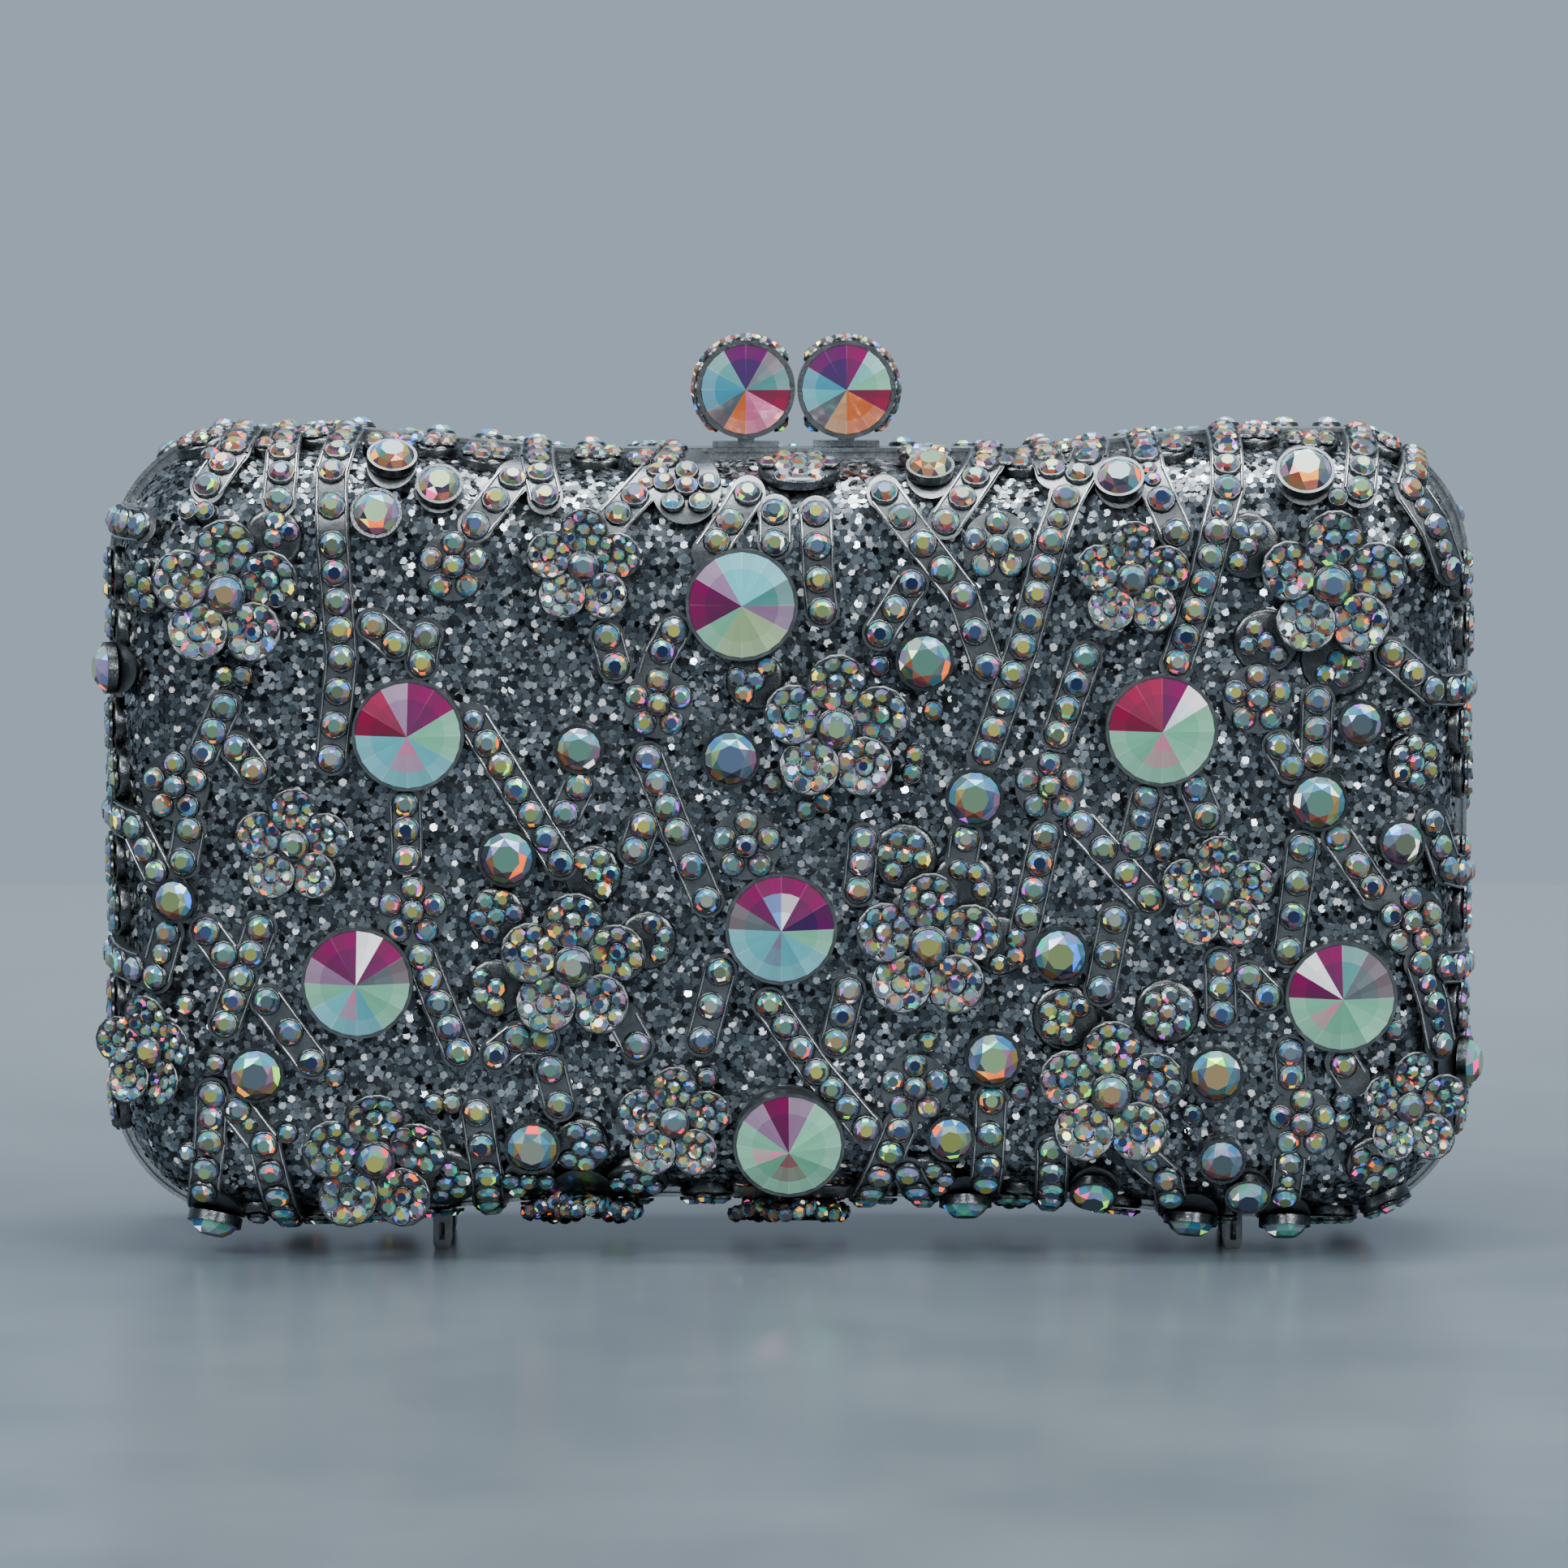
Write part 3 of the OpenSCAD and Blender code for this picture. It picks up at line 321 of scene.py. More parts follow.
def facetMaterial(name, metallic, roughness, coat, glow):
    material, tree = newMaterial(name)
    colour = addNode(tree, "VertexColor", {"layer_name": "facet"})
    parts = addNode(tree, "SeparateColor", {"mode": "HSV"}, {0: colour.outputs[0]})
    spark = mapped(tree, parts.outputs[2], From_Min=paintedGlowFrom, To_Max=glow)
    links = {"Base Color": colour.outputs[0], "Emission Color": colour.outputs[0], "Emission Strength": spark}
    values = {"Metallic": metallic, "Roughness": roughness, "Coat Weight": coat, "Coat Roughness": 0.03}
    finishMaterial(tree, links, **values)
    return material


# Cast zinc with silver-tone plating, darker in coarse random patches.
castMetal = metalMaterial("cast_silver_tone_metal", "#8b9092", "#3d4143", 0.32, 0.35, 0.05)
# The same casting, darker, in the seats of the stones and in the cups, bosses and plates round them: painted
# shade round the stones.
paintedShadeMetal = metalMaterial("darkened_cast_metal", "#74787a", "#2a2e30", 0.26, 0.3, 0.04)
# Smooth silver-tone plating of the frames and the clasp.
brightMetal = metalMaterial("polished_silver_tone_metal", "#c9ccce", "#94989a", 0.24, 0.8, 0.01)
hingeMetal = metalMaterial("satin_steel", "#85888b", "#5f6366", 0.36, 0.5, 0.02)
shellMetal = metalMaterial("pressed_aluminium", "#a2a5a8", "#8b8f92", 0.4, 1.2, 0.02)
# Cut glass with a silver back and a colour-shifting coat, in small and in large pointed stones.
stoneGlass = facetMaterial("colour_shift_cut_glass", 0.35, 0.12, 0.15, 1.1)
pointGlass = facetMaterial("colour_shift_pointed_glass", 0.35, 0.1, 0.15, 0.35)
flakeMetal = facetMaterial("hexagon_glitter_flakes", 0.85, 0.2, 0.2, 0.3)


# Fine glitter between the flakes: cells about 0.4 mm wide, each with its own lean and shade.
fineGlitter = {"cell": 0.42, "lean": 0.12, "middle": 0.62}


def glitterMaterial():
    material, tree = newMaterial("fine_glitter_on_dark_backing")
    where = addNode(tree, "TexCoord").outputs["Object"]
    size = 1 / (fineGlitter["cell"] * mm)
    cells = addNode(tree, "TexVoronoi", links={"Vector": where}, Scale=size)
    chance = addNode(tree, "SeparateColor", links={0: cells.outputs["Color"]})
    shade = addNode(tree, "ValToRGB", links={0: chance.outputs[0]})
    ramp = shade.color_ramp
    ramp.elements[0].color = hexColour("#24292c")
    ramp.elements[1].color = hexColour("#c4cacf")
    middle = ramp.elements.new(fineGlitter["middle"])
    middle.color = hexColour("#4a5155")
    bump = bumped(tree, chance.outputs[1], fineGlitter["lean"], 1)
    finishMaterial(tree, {"Base Color": shade.outputs[0], "Normal": bump}, Metallic=0.7, Roughness=0.32)
    return material


# Matt dark lining with a fine grain, in mm.
weave = {"grain": 0.5, "relief": 0.08}


def liningMaterial():
    material, tree = newMaterial("matt_dark_lining")
    where = addNode(tree, "TexCoord").outputs["Object"]
    size = 1 / (weave["grain"] * mm)
    grain = addNode(tree, "TexNoise", links={"Vector": where}, Scale=size, Detail=2.0)
    bump = bumped(tree, grain.outputs[0], weave["relief"], 0.6)
    finishMaterial(tree, {"Normal": bump}, Base_Color=hexColour("#2b2c30"), Roughness=0.75, Sheen_Weight=0.3)
    return material


glitter = glitterMaterial()
lining = liningMaterial()


# A shape for repeating: its points, its faces and, per face, the facet it belongs to.
def takeShape(bm, facetOf=None):
    bm.verts.ensure_lookup_table()
    bm.faces.ensure_lookup_table()
    bmesh.ops.recalc_face_normals(bm, faces=bm.faces)
    points = [v.co.copy() for v in bm.verts]
    faces = [[v.index for v in f.verts] for f in bm.faces]
    facets = [facetOf(f) if facetOf else 0 for f in bm.faces]
    bm.free()
    return {"points": points, "faces": faces, "facets": facets}


# Joins placed copies of shapes into one piece of a half. What belongs to the clasp rides on its drum.
def gather(side, kind, copies, material, replaced=(), smooth=False):
    name = side + "_" + kind
    body = side + "_clasp" if kind.startswith("clasp") else side
    replaces = [side + "_" + node for node in replaced]
    points, faces, colours = [], [], []
    for shape, matrix, paint in copies:
        base = len(points)
        points.extend(matrix @ p for p in shape["points"])
        for face, facet in zip(shape["faces"], shape["facets"]):
            faces.append([base + i for i in face])
            if paint:
                colours.extend([paint[facet % len(paint)]] * len(face))
    mesh = bpy.data.meshes.new(name)
    mesh.from_pydata(points, [], faces)
    if colours:
        layer = mesh.color_attributes.new("facet", "FLOAT_COLOR", "CORNER")
        layer.data.foreach_set("color", [c for colour in colours for c in colour])
    mesh.materials.append(material)
    mesh.polygons.foreach_set("use_smooth", [smooth] * len(mesh.polygons))
    piece = bpy.data.objects.new(name, mesh)
    bpy.context.scene.collection.objects.link(piece)
    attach(piece, body)
    if replaces:
        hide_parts(*replaces)


def sectorOf(centre, count):
    return int(atan2(centre.y, centre.x) / (2 * pi) * count + 0.5) % count


# Parts of a stone by number: table 0, star facets 1 to 8, crown from 9 on, girdle last.
stars, crowns = 8, 16
girdle = 1 + stars + crowns


# Round cut stone of width 1, as the hull of rings: radius, height, corners and turn in corners.
def cutStone():
    bm = bmesh.new()
    rings = ((0.27, 0.39, stars, 0), (0.4, 0.29, stars, 0.5), (0.5, 0.15, crowns, 0.5), (0.5, 0, crowns, 0.5))
    for radius, height, count, turn in rings:
        for k in range(count):
            a = 2 * pi * (k + turn) / count
            bm.verts.new((radius * cos(a), radius * sin(a), height))
    bmesh.ops.convex_hull(bm, input=bm.verts)
    bmesh.ops.dissolve_limit(bm, angle_limit=radians(3), verts=bm.verts, edges=bm.edges)
    floor = [f for f in bm.faces if f.calc_center_median().z < 0.01]
    bmesh.ops.delete(bm, geom=floor, context="FACES")
    aboveGirdle, aboveCrown, aboveStars = 0.12, 0.3, 0.38

    def facetOf(face):
        centre = face.calc_center_median()
        if centre.z > aboveStars:
            return 0
        if centre.z < aboveGirdle:
            return girdle
        if centre.z > aboveCrown:
            return 1 + sectorOf(centre, stars)
        return 1 + stars + sectorOf(centre, crowns)
    return takeShape(bm, facetOf)


# Low round stone of width 1 for the pave, with a table, eight facets and a girdle below them.
def smallStone():
    bm = bmesh.new()
    crownHeight, girdleHeight = 0.2, 0.15
    foot = moved(0, 0, girdleHeight + crownHeight / 2)
    bmesh.ops.create_cone(
        bm, cap_ends=True, segments=stars, radius1=0.5, radius2=0.28, depth=crownHeight, matrix=foot
    )
    floor = [f for f in bm.faces if f.normal.z < -0.9]
    made = bmesh.ops.extrude_face_region(bm, geom=floor)["geom"]
    lowered = [v for v in made if isinstance(v, bmesh.types.BMVert)]
    bmesh.ops.translate(bm, vec=(0, 0, -girdleHeight), verts=lowered)
    level = [f for f in bm.faces if abs(f.normal.z) > 0.9 and f.calc_center_median().z < foot.translation.z]
    bmesh.ops.delete(bm, geom=level, context="FACES")

    def facetOf(face):
        centre = face.calc_center_median()
        if centre.z > girdleHeight + 0.95 * crownHeight:
            return 0
        return girdle if centre.z < girdleHeight else 1 + sectorOf(centre, stars)
    return takeShape(bm, facetOf)


# Pointed round stone of radius 1 and point 1. Each flat facet is two edge strips and two halves, which
# start at these degrees, and is cut in rings to shade its depth.
pointed = {"facets": 12, "starts": (0, 0.8, 15, 29.2), "rings": (0.36, 0.7, 1)}


def pointedStone():
    bm = bmesh.new()
    starts, rings = pointed["starts"], pointed["rings"]
    span = 360 / pointed["facets"]
    count = pointed["facets"] * len(starts)
    shadeLimits = (0.3, 0.6)
    apex = bm.verts.new((0, 0, 1))
    columns = []
    for k in range(count):
        start = starts[k % len(starts)]
        a = radians(span * (k // len(starts)) + start)
        lean, corner = cos(radians(span / 2 - start)), cos(radians(span / 2))
        columns.append([bm.verts.new((r * cos(a), r * sin(a), 1 - r * lean / corner)) for r in rings])
    for one, two in zip(columns, columns[1:] + columns[:1]):
        bm.faces.new((apex, one[0], two[0]))
        for i in range(1, len(rings)):
            bm.faces.new((one[i - 1], one[i], two[i], two[i - 1]))

    def facetOf(face):
        centre = face.calc_center_median()
        around = degrees(atan2(centre.y, centre.x)) % 360
        part = sum(around % span > start for start in starts[1:])
        ring = sum(hypot(centre.x, centre.y) >= limit for limit in shadeLimits)
        return (int(around / span) * len(starts) + part) * len(rings) + ring
    return takeShape(bm, facetOf)


# A profile of radii and heights turned about the upright axis.
def lathe(outline, steps):
    bm = bmesh.new()
    profile = [bm.verts.new((x, 0, z)) for x, z in outline]
    edges = [bm.edges.new(pair) for pair in zip(profile, profile[1:])]
    bmesh.ops.spin(
        bm, geom=profile + edges, cent=(0, 0, 0), axis=(0, 0, 1), angle=2 * pi, steps=steps, use_merge=True
    )
    bmesh.ops.remove_doubles(bm, verts=bm.verts, dist=1e-5)
    return takeShape(bm)


def hexagonFlake():
    bm = bmesh.new()
    bmesh.ops.create_circle(bm, cap_ends=True, segments=6, radius=0.5)
    return takeShape(bm)


petalR, bossR = flower["petal"], flower["boss"]
shapes = {
    "cut": cutStone(), "small": smallStone(), "point": pointedStone(), "flake": hexagonFlake(),
    # Thin raised ring that holds a stone of width 1.
    "bezel": lathe(((0.5, 0.13), (0.535, 0.17), (0.6, 0.12), (0.63, -0.02)), 12),
    # Low round plate of radius 1 and height 1 under a patch of small stones, with a rolled edge.
    "plate": lathe(((0, -0.1), (0.82, -0.12), (0.94, -0.2), (1, -0.4), (0.97, -1)), 16),
    # Cupped petal: a shallow dish with a rolled lip.
    "petal": lathe((
        (0, -0.35), (0.45 * petalR, -0.25), (0.8 * petalR, 0.05), (0.95 * petalR, 0.45),
        (petalR, 0.3), (0.85 * petalR, -0.35), (0, -0.75)
    ), 14),
    # Collar round the middle of a flower, with a hollow for its stone.
    "boss": lathe((
        (0.82 * bossR, 0.75), (0.84 * bossR, 1.5), (0.92 * bossR, 1.55), (bossR, 1.3), (bossR * 0.96, 0)
    ), 16)
}
# Colours of the facets of the cut stones: the up tones are lighter, painted light from above, and the low
# tones darker, painted shade below.
tones = {kind: [hexColour(t) for t in text.split()] for kind, text in {
    "table": "#758a5c #66836a #8b9452 #60767c #526480 #94805e #1e2b4a "
             "#384a6c #7fa078 #a8aa58 #588074 #5d6a58 #8a9488 #4b5c64",
    "up": "#5ca6b8 #4c98be #84bcc0 #58b09a #7c88b8 #4480b8 #92b0b8 #587680 #68bca0 #9cb4a8 #9c98bc",
    "side": "#747ca8 #627688 #8a86ac #528a9c #6a7a78 #36444c #86a074 #4c6484 #946e8a #a08c58",
    "low": "#5e485a #4e3c40 #7a6248 #34404a #8a5e40 #3a666a #64724e #865068 #9a5040 #44384e",
    # Painted glints: bright flashes of colour on a few facets.
    "spark": "#ff6a2a #ffa030 #ff3f90 #fff6e8 #2f7cff #ffe850 #ff5050 #30f0c8 #c040ff #ffffff #9cff50 #ff7a3c"
}.items()}
girdleTone = hexColour("#2a3033")
# How many painted glints a stone may have, one of these by chance.
paintedGlintCounts = {"rib": (0, 1, 1, 2, 3), "small": (0, 1, 2, 3, 4), "medium": (1, 2, 3), "centre": (0, 1, 1)}
stoneTurn = 0.3  # the most that a stone is turned in its seat, in radians
upFrom, lowFrom = 0.3, -0.5  # limits of the upper and lower facets, as shares of the radius


# One colour per facet: a calm table, cool facets above made lighter as painted light from above, dusky ones
# below made darker as painted shade, and a few painted glints.
def stonePaint(sparks):
    paint = [random.choice(tones["table"])]
    for count in (stars, crowns):
        for k in range(count):
            up = sin(2 * pi * k / count)
            paint.append(random.choice(tones["up" if up > upFrom else "low" if up < lowFrom else "side"]))
    for i in range(random.choice(paintedGlintCounts[sparks])):
        paint[random.randint(1, stars + crowns)] = random.choice(tones["spark"])
    return paint + [girdleTone]


def setStone(kind, at, size, sparks):
    turn = turned(random.uniform(-stoneTurn, stoneTurn), "Z")
    return shapes[kind], scaled(at @ turn, size), stonePaint(sparks)


def ringAt(at, size):
    return shapes["bezel"], scaled(at, size), None


# The places of rib stones on a stretch from a to b, evenly spread over the bent face.
def rowPoints(a, b, first):
    ua, ub = edgeAt(*a)[0], edgeAt(*b)[0]
    margin = ribs["stone"] / 2 + ribs["space"]
    ra, rb = max(runOf(max(ua, 0)), margin), max(runOf(max(ub, 0)), margin)
    across = sqrt(max(0, (b[0] - a[0]) ** 2 + (b[1] - a[1]) ** 2 - (ub - ua) ** 2))
    count = int(hypot(rb - ra, across) / ribs["pitch"] + ribs["slack"])
    for k in range(first, count + 1):
        share = k / max(count, 1)
        f = share if abs(ub - ua) < ribs["level"] else (uOf(ra + (rb - ra) * share) - ua) / (ub - ua)
        yield a[0] + (b[0] - a[0]) * f, a[1] + (b[1] - a[1]) * f


# Centre and radius of everything round on the cage, with the given radii of a flower and of a star.
def roundPlaces(flowerRadius, starRadius):
    return (
        [(place(s), large["size"] / 2 + cup["wall"]) for s in largeShares]
        + [(place(s), flowerRadius * size) for s, size in flowerSizes]
        + [(place(s), starRadius) for s in starShares]
        + [(place(s), s[2] * medium["size"] / 2 + cup["wall"]) for s in mediumShares]
    )


pads = roundPlaces(flower["out"], star["pad"])
ribLines = [[place(share) for share in zip(rib[::2], rib[1::2])] for rib in ribShares]
ribSegments = [(a, b) for line in ribLines for a, b in zip(line, line[1:])]
stoneRounds = roundPlaces(flower["out"] + flower["petal"] / 2, star["ring"] + star["stone"] / 2)
roundSeats = [(seatPoint(*centre), radius) for centre, radius in stoneRounds]


def isFree(x, y, margin):
    at = seatPoint(x, y)
    return all((at - seat).length >= radius + margin for seat, radius in roundSeats)


ribStonePlaces = []
for line in ribLines:
    for i, (a, b) in enumerate(zip(line, line[1:])):
        for x, y in rowPoints(a, b, min(i, 1)):
            if isFree(x, y, ribs["stone"] / 2 + ribs["space"]):
                ribStonePlaces.append((x, y))
print("rib stones", len(ribStonePlaces))


def distanceToSegment(x, y, a, b):
    dx, dy = b[0] - a[0], b[1] - a[1]
    f = max(0, min(1, ((x - a[0]) * dx + (y - a[1]) * dy) / (dx * dx + dy * dy)))
    return hypot(x - a[0] - f * dx, y - a[1] - f * dy)


def onPad(x, y, inset):
    return any(hypot(x - c[0], y - c[1]) < r - inset for c, r in pads)


def onRib(x, y, inset):
    half = ribs["width"] / 2 - inset
    return any(distanceToSegment(x, y, a, b) < half for a, b in ribSegments)


def underCage(x, y, inset):
    return onPad(x, y, inset) or onRib(x, y, inset)


# Patches of small stones, and the loose stones that fill what room is left on the ribs and the pads.
# Where a patch keeps fewer stones than its least, each stands on a single plate.
patch = {
    "stone": 2.3, "pitch": 2.42, "edge": 1.1, "least": 3, "single": 1.5, "gap": 0.05, "rim": 0.3,
    "wallRadius": 3.7, "wallRows": (4.4, 8.8)
}
loose = {"sizes": (3, 2.5, 1.9), "step": 0.35, "tries": 70, "overhang": 0.1}
fifths = [turned(2 * pi * k / 5, "Z") for k in range(5)]


# Every place for a smaller stone, with its size, and the plates under the patches.
def findFillers():
    taken = {}
    cell = 10

    def cellOf(point):
        return int(point.x // cell), int(point.y // cell)

    def take(point, radius):
        taken.setdefault(cellOf(point), []).append((point, radius))

    def isClear(point, radius):
        i, j = cellOf(point)
        near = [item for a in (-1, 0, 1) for b in (-1, 0, 1) for item in taken.get((i + a, j + b), ())]
        return all((point - other).length >= radius + size for other, size in near)

    def isOpen(x, y, radius):
        inside = edgeAt(x, y)[0] > uOf(radius + patch["rim"])
        return inside and isClear(seatPoint(x, y), radius + patch["gap"])

    for share in largeShares:
        take(seatPoint(*place(share)), large["size"] / 2 + cup["wall"])
    for share in mediumShares:
        take(seatPoint(*place(share)), share[2] * medium["size"] / 2 + cup["wall"])
    blooms = [(s, flower["boss"] * k, flower["out"] * k, flower["petal"] * k) for s, k in flowerSizes]
    blooms += [(share, star["stone"] / 2, star["ring"], star["stone"] / 2) for share in starShares]
    for share, middle, out, radius in blooms:
        at = seatOn(*place(share))
        take(at.translation, middle)
        for turn in fifths:
            take((at @ turn @ moved(0, out, 0)).translation, radius)
    for x, y in ribStonePlaces:
        take(seatPoint(x, y), ribs["stone"] / 2)
    found, plates, onRibs, onPads = [], [], [], []
    for a, b in ribSegments:
        steps = int(dist(a, b) / loose["step"])
        for k in range(steps + 1):
            onRibs.append((a[0] + (b[0] - a[0]) * k / steps, a[1] + (b[1] - a[1]) * k / steps))
    for (x, y), radius in pads:
        onPads += [nearby(x, y, radius) for k in range(loose["tries"])]
    patches = [(*place(share), share[2]) for share in patchShares]
    patches += [(*spot, patch["wallRadius"]) for spot in wallPlaces()]
    for x, y, radius in patches:
        spots = honeycomb(x, y, radius - patch["edge"], patch["pitch"])
        spots = [spot for spot in spots if isOpen(*spot, patch["stone"] / 2)]
        if len(spots) < patch["least"]:
            plates += [(*spot, patch["single"]) for spot in spots]
        else:
            plates.append((x, y, radius))
        for spot in spots:
            found.append((*spot, patch["stone"]))
            take(seatPoint(*spot), patch["stone"] / 2)
    for size in loose["sizes"]:
        for x, y in onRibs if size == loose["sizes"][0] else onRibs + onPads:
            if underCage(x, y, size / 2 - loose["overhang"]) and isOpen(x, y, size / 2):
                take(seatPoint(x, y), size / 2)
                found.append((x, y, size))
    return found, plates


# Places on the walls in a zigzag, each moved in until it is as far from the outline as its row.
def wallPlaces():
    spots = []
    starts = [(10 * share, 1000) for share in wallSpots["top"]]
    starts += [(10 * share, -1000) for share in wallSpots["bottom"]]
    starts += [(1000 * sign, 10 * share) for sign in (-1, 1) for share in wallSpots["side"]]
    for i, share in enumerate(starts):
        x, y = place(share)
        for k in range(6):
            short = uOf(patch["wallRows"][i % 2]) - edgeAt(x, y)[0]
            if abs(share[1]) == 1000:
                y -= copysign(short, y)
            else:
                x -= copysign(short, x)
        spots.append((x, y))
    return spots


# The point that lies a way across and along from another, measured over the face and the walls.
def shifted(x, y, across, along):
    u, dx, dy = edgeAt(x, y)
    step = uOf(max(0, runOf(max(u, 0)) + across)) - u
    return x + dx * step - dy * along, y + dy * step + dx * along


def nearby(x, y, radius):
    turn, out = random.random() * 2 * pi, radius * sqrt(random.random())
    return shifted(x, y, out * cos(turn), out * sin(turn))


def honeycomb(x, y, radius, pitch):
    turn = random.random() * pi
    spots = []
    for i in range(-3, 4):
        for j in range(-3, 4):
            a, b = pitch * (i + j / 2), pitch * j * sqrt(0.75)
            if hypot(a, b) <= radius:
                across = a * cos(turn) - b * sin(turn)
                spots.append(shifted(x, y, across, a * sin(turn) + b * cos(turn)))
    return spots


# Two pieces: stones by shape, place, size and kind of painted glints, and a raised ring round each, after any
# plates.
def addSet(side, stoneName, ringName, rows, replaced=(), plates=()):
    rings = [*plates] + [ringAt(at, size) for kind, at, size, sparks in rows]
    gather(side, stoneName, [setStone(*row) for row in rows], stoneGlass, replaced)
    # The rings and plates take the darker cast metal, painted shade round the stones.
    gather(side, ringName, rings, paintedShadeMetal, smooth=True)


def addFillers(side):
    plates, rows = [], []
    for x, y, radius in fillerPlates:
        at = onHalf(side, x, y) @ Matrix.Diagonal((radius, radius, case["coverDrop"], 1))
        plates.append((shapes["plate"], at, None))
    for x, y, size in fillers:
        kind = "cut" if size > patch["stone"] else "small"
        rows.append((kind, onHalf(side, x, y, ribs["lift"]), size, "small"))
    addSet(side, "small_fill_stones", "small_fill_seats", rows, plates=plates)


def addRibStones(side):
    rows = [("cut", onHalf(side, *spot, ribs["lift"]), ribs["stone"], "rib") for spot in ribStonePlaces]
    addSet(side, "rib_stone_set", "rib_stone_seats", rows, ["rib_stones"])


def addStars(side):
    spots = [moved(0, 0, star["middleLift"])] + [turn @ moved(0, star["ring"], 0) for turn in fifths]
    rows = []
    for share in starShares:
        at = onHalf(side, *place(share), ribs["lift"])
        rows += [("cut", at @ spot, star["stone"], "rib") for spot in spots]
    addSet(side, "star_stone_set", "star_seats", rows, ["star_stones"])


# Rows of pave on a petal: how many, share of its radius, height in mm and lean in degrees. The rim rows go
# round the edge and the back of a petal, for the flowers on the walls that show from behind.
dishRows = ((7, 0.66, -0.1, -16),)
rimRows = ((11, 0.97, -0.15, 80), (7, 0.6, -0.6, 165))


def petalSpots(rows):
    spots = []
    for count, share, height, lean in rows:
        for k in range(count):
            spots.append(
                turned(2 * pi * k / count, "Z")
                @ moved(share * flower["petal"], 0, height) @ turned(radians(lean), "Y")
            )
    return spots


def addFlowers(side):
    metal, bosses, stones, rings, centres, centreRings = [], [], [], [], [], []
    lean, twist = radians(flower["lean"]), radians(flower["twist"])
    rise = flower["petal"] * sin(radians(flower["lean"] + flower["twist"] / 2)) + flower["thick"] / 2
    dish = [moved(0, 0, flower["middleLift"])] + petalSpots(dishRows)
    for share, size in flowerSizes:
        at = scaled(onHalf(side, *place(share), cup["seat"]), size)
        bosses.append((shapes["boss"], at, None))
        onWall = edgeAt(*place(share))[0] < flower["wallBand"]
        for turn in fifths:
            petal = at @ turn @ moved(0, flower["out"], rise)
            petal = petal @ turned(lean, "X") @ turned(twist, "Y")
            metal.append((shapes["petal"], petal, None))
            for spot in dish + (petalSpots(rimRows) if onWall else []):
                stones.append(setStone("small", petal @ spot, flower["stone"], "small"))
                rings.append(ringAt(petal @ spot, flower["stone"] * flower["ring"]))
        middle = at @ moved(0, 0, flower["bossHeight"] - flower["centreSink"])
        centre = scaled(middle, flower["centre"] * flower["ring"])
        centres.append((shapes["cut"], centre, stonePaint("centre")))
        centreRings.append(ringAt(middle, flower["centre"] * flower["centreRing"]))
    gather(side, "flower_metal", metal, castMetal, ["flowers"], smooth=True)
    gather(side, "flower_bosses", bosses, paintedShadeMetal, smooth=True)
    gather(side, "petal_stones", stones, stoneGlass)
    gather(side, "petal_stone_seats", rings, paintedShadeMetal, smooth=True)
    gather(side, "flower_centre_set", centres, stoneGlass, ["flower_centres"])
    gather(side, "flower_centre_seats", centreRings, paintedShadeMetal, smooth=True)


def addMediumStones(side):
    copies = []
    for share in mediumShares:
        size = share[2] * medium["size"]
        lift = cup["seat"] + medium["height"] - medium["sinkShare"] * size
        copies.append(setStone("cut", onHalf(side, *place(share), lift), size, "medium"))
    gather(side, "medium_stone_set", copies, stoneGlass, ["medium_stones"])


# Colours of the twelve facets of each pointed stone, from the right side round to the left. The white w
# facets are painted glints.
pointTones = {letter: hexColour(text) for letter, text in {
    "a": "#5fbcc8", "m": "#78c4a0", "g": "#707c80", "t": "#4f8c8a", "p": "#720a56", "d": "#44145c",
    "v": "#8f6f92", "w": "#f4f6f6", "s": "#f07aa8", "b": "#5aa0dc", "c": "#96224a", "o": "#f07a44",
    "k": "#26343c", "l": "#a6c890", "r": "#84103e", "q": "#3f94b0", "y": "#e8b080"
}.items()}
pointPaints = [
    "taaavppmlllv", "mppvcraaaaam", "mgpccrmmmmmm", "gpwppvmaaamm",
    "dppppgaaaaam", "ggtpwpmmmmmm", "mmvpvmmmmmmm"
]
# Painted reflections near the point of some facets: the pink star below the middle, white glints above it,
# and a few other tones.
pointPaintedReflections = {
    0: {}, 1: {8: "s", 9: "s"}, 2: {8: "s", 9: "s"}, 3: {8: "s", 2: "w"}, 4: {8: "v", 2: "w", 3: "b"},
    5: {7: "s"}, 6: {8: "c", 9: "c", 6: "s"}
}
# Shares of another tone blended into a facet, on deep facets and on light ones: painted shade dark at its
# point and on its second half, a painted highlight pale on its edge strips, and the rim tone at the rim,
# white as a painted highlight on light facets.
deepLetters = "pdckrg"
deepFacet = {"point": 0.5, "edge": 0.05, "half": 0.3, "rim": 0.2, "rimTone": "c"}
lightFacet = {"point": 0.1, "edge": 0.18, "half": 0.12, "rim": 0.1, "rimTone": "w"}


def blendTone(one, two, share):
    return [a + (b - a) * share for a, b in zip(one, two)]


# Three shades per part of a facet, from the point to the rim: mostly the painted reflection or the painted
# dark tone, half of it, and the rim.
def pointPaint(letters, spots):
    paint = []
    for i, letter in enumerate(letters):
        tone = pointTones[letter]
        blend = deepFacet if letter in deepLetters else lightFacet
        spot = pointTones[spots[i]] if i in spots else blendTone(tone, pointTones["k"], blend["point"])
        edge = blendTone(tone, pointTones["w"], blend["edge"])
        for part in range(4):
            half = tone if part == 1 else blendTone(tone, pointTones["k"], blend["half"])
            base = edge if part in (0, 3) else half
            rim = blendTone(base, pointTones[blend["rimTone"]], blend["rim"])
            paint += [blendTone(spot, base, 0.15), blendTone(spot, base, 0.5), rim]
    return paint


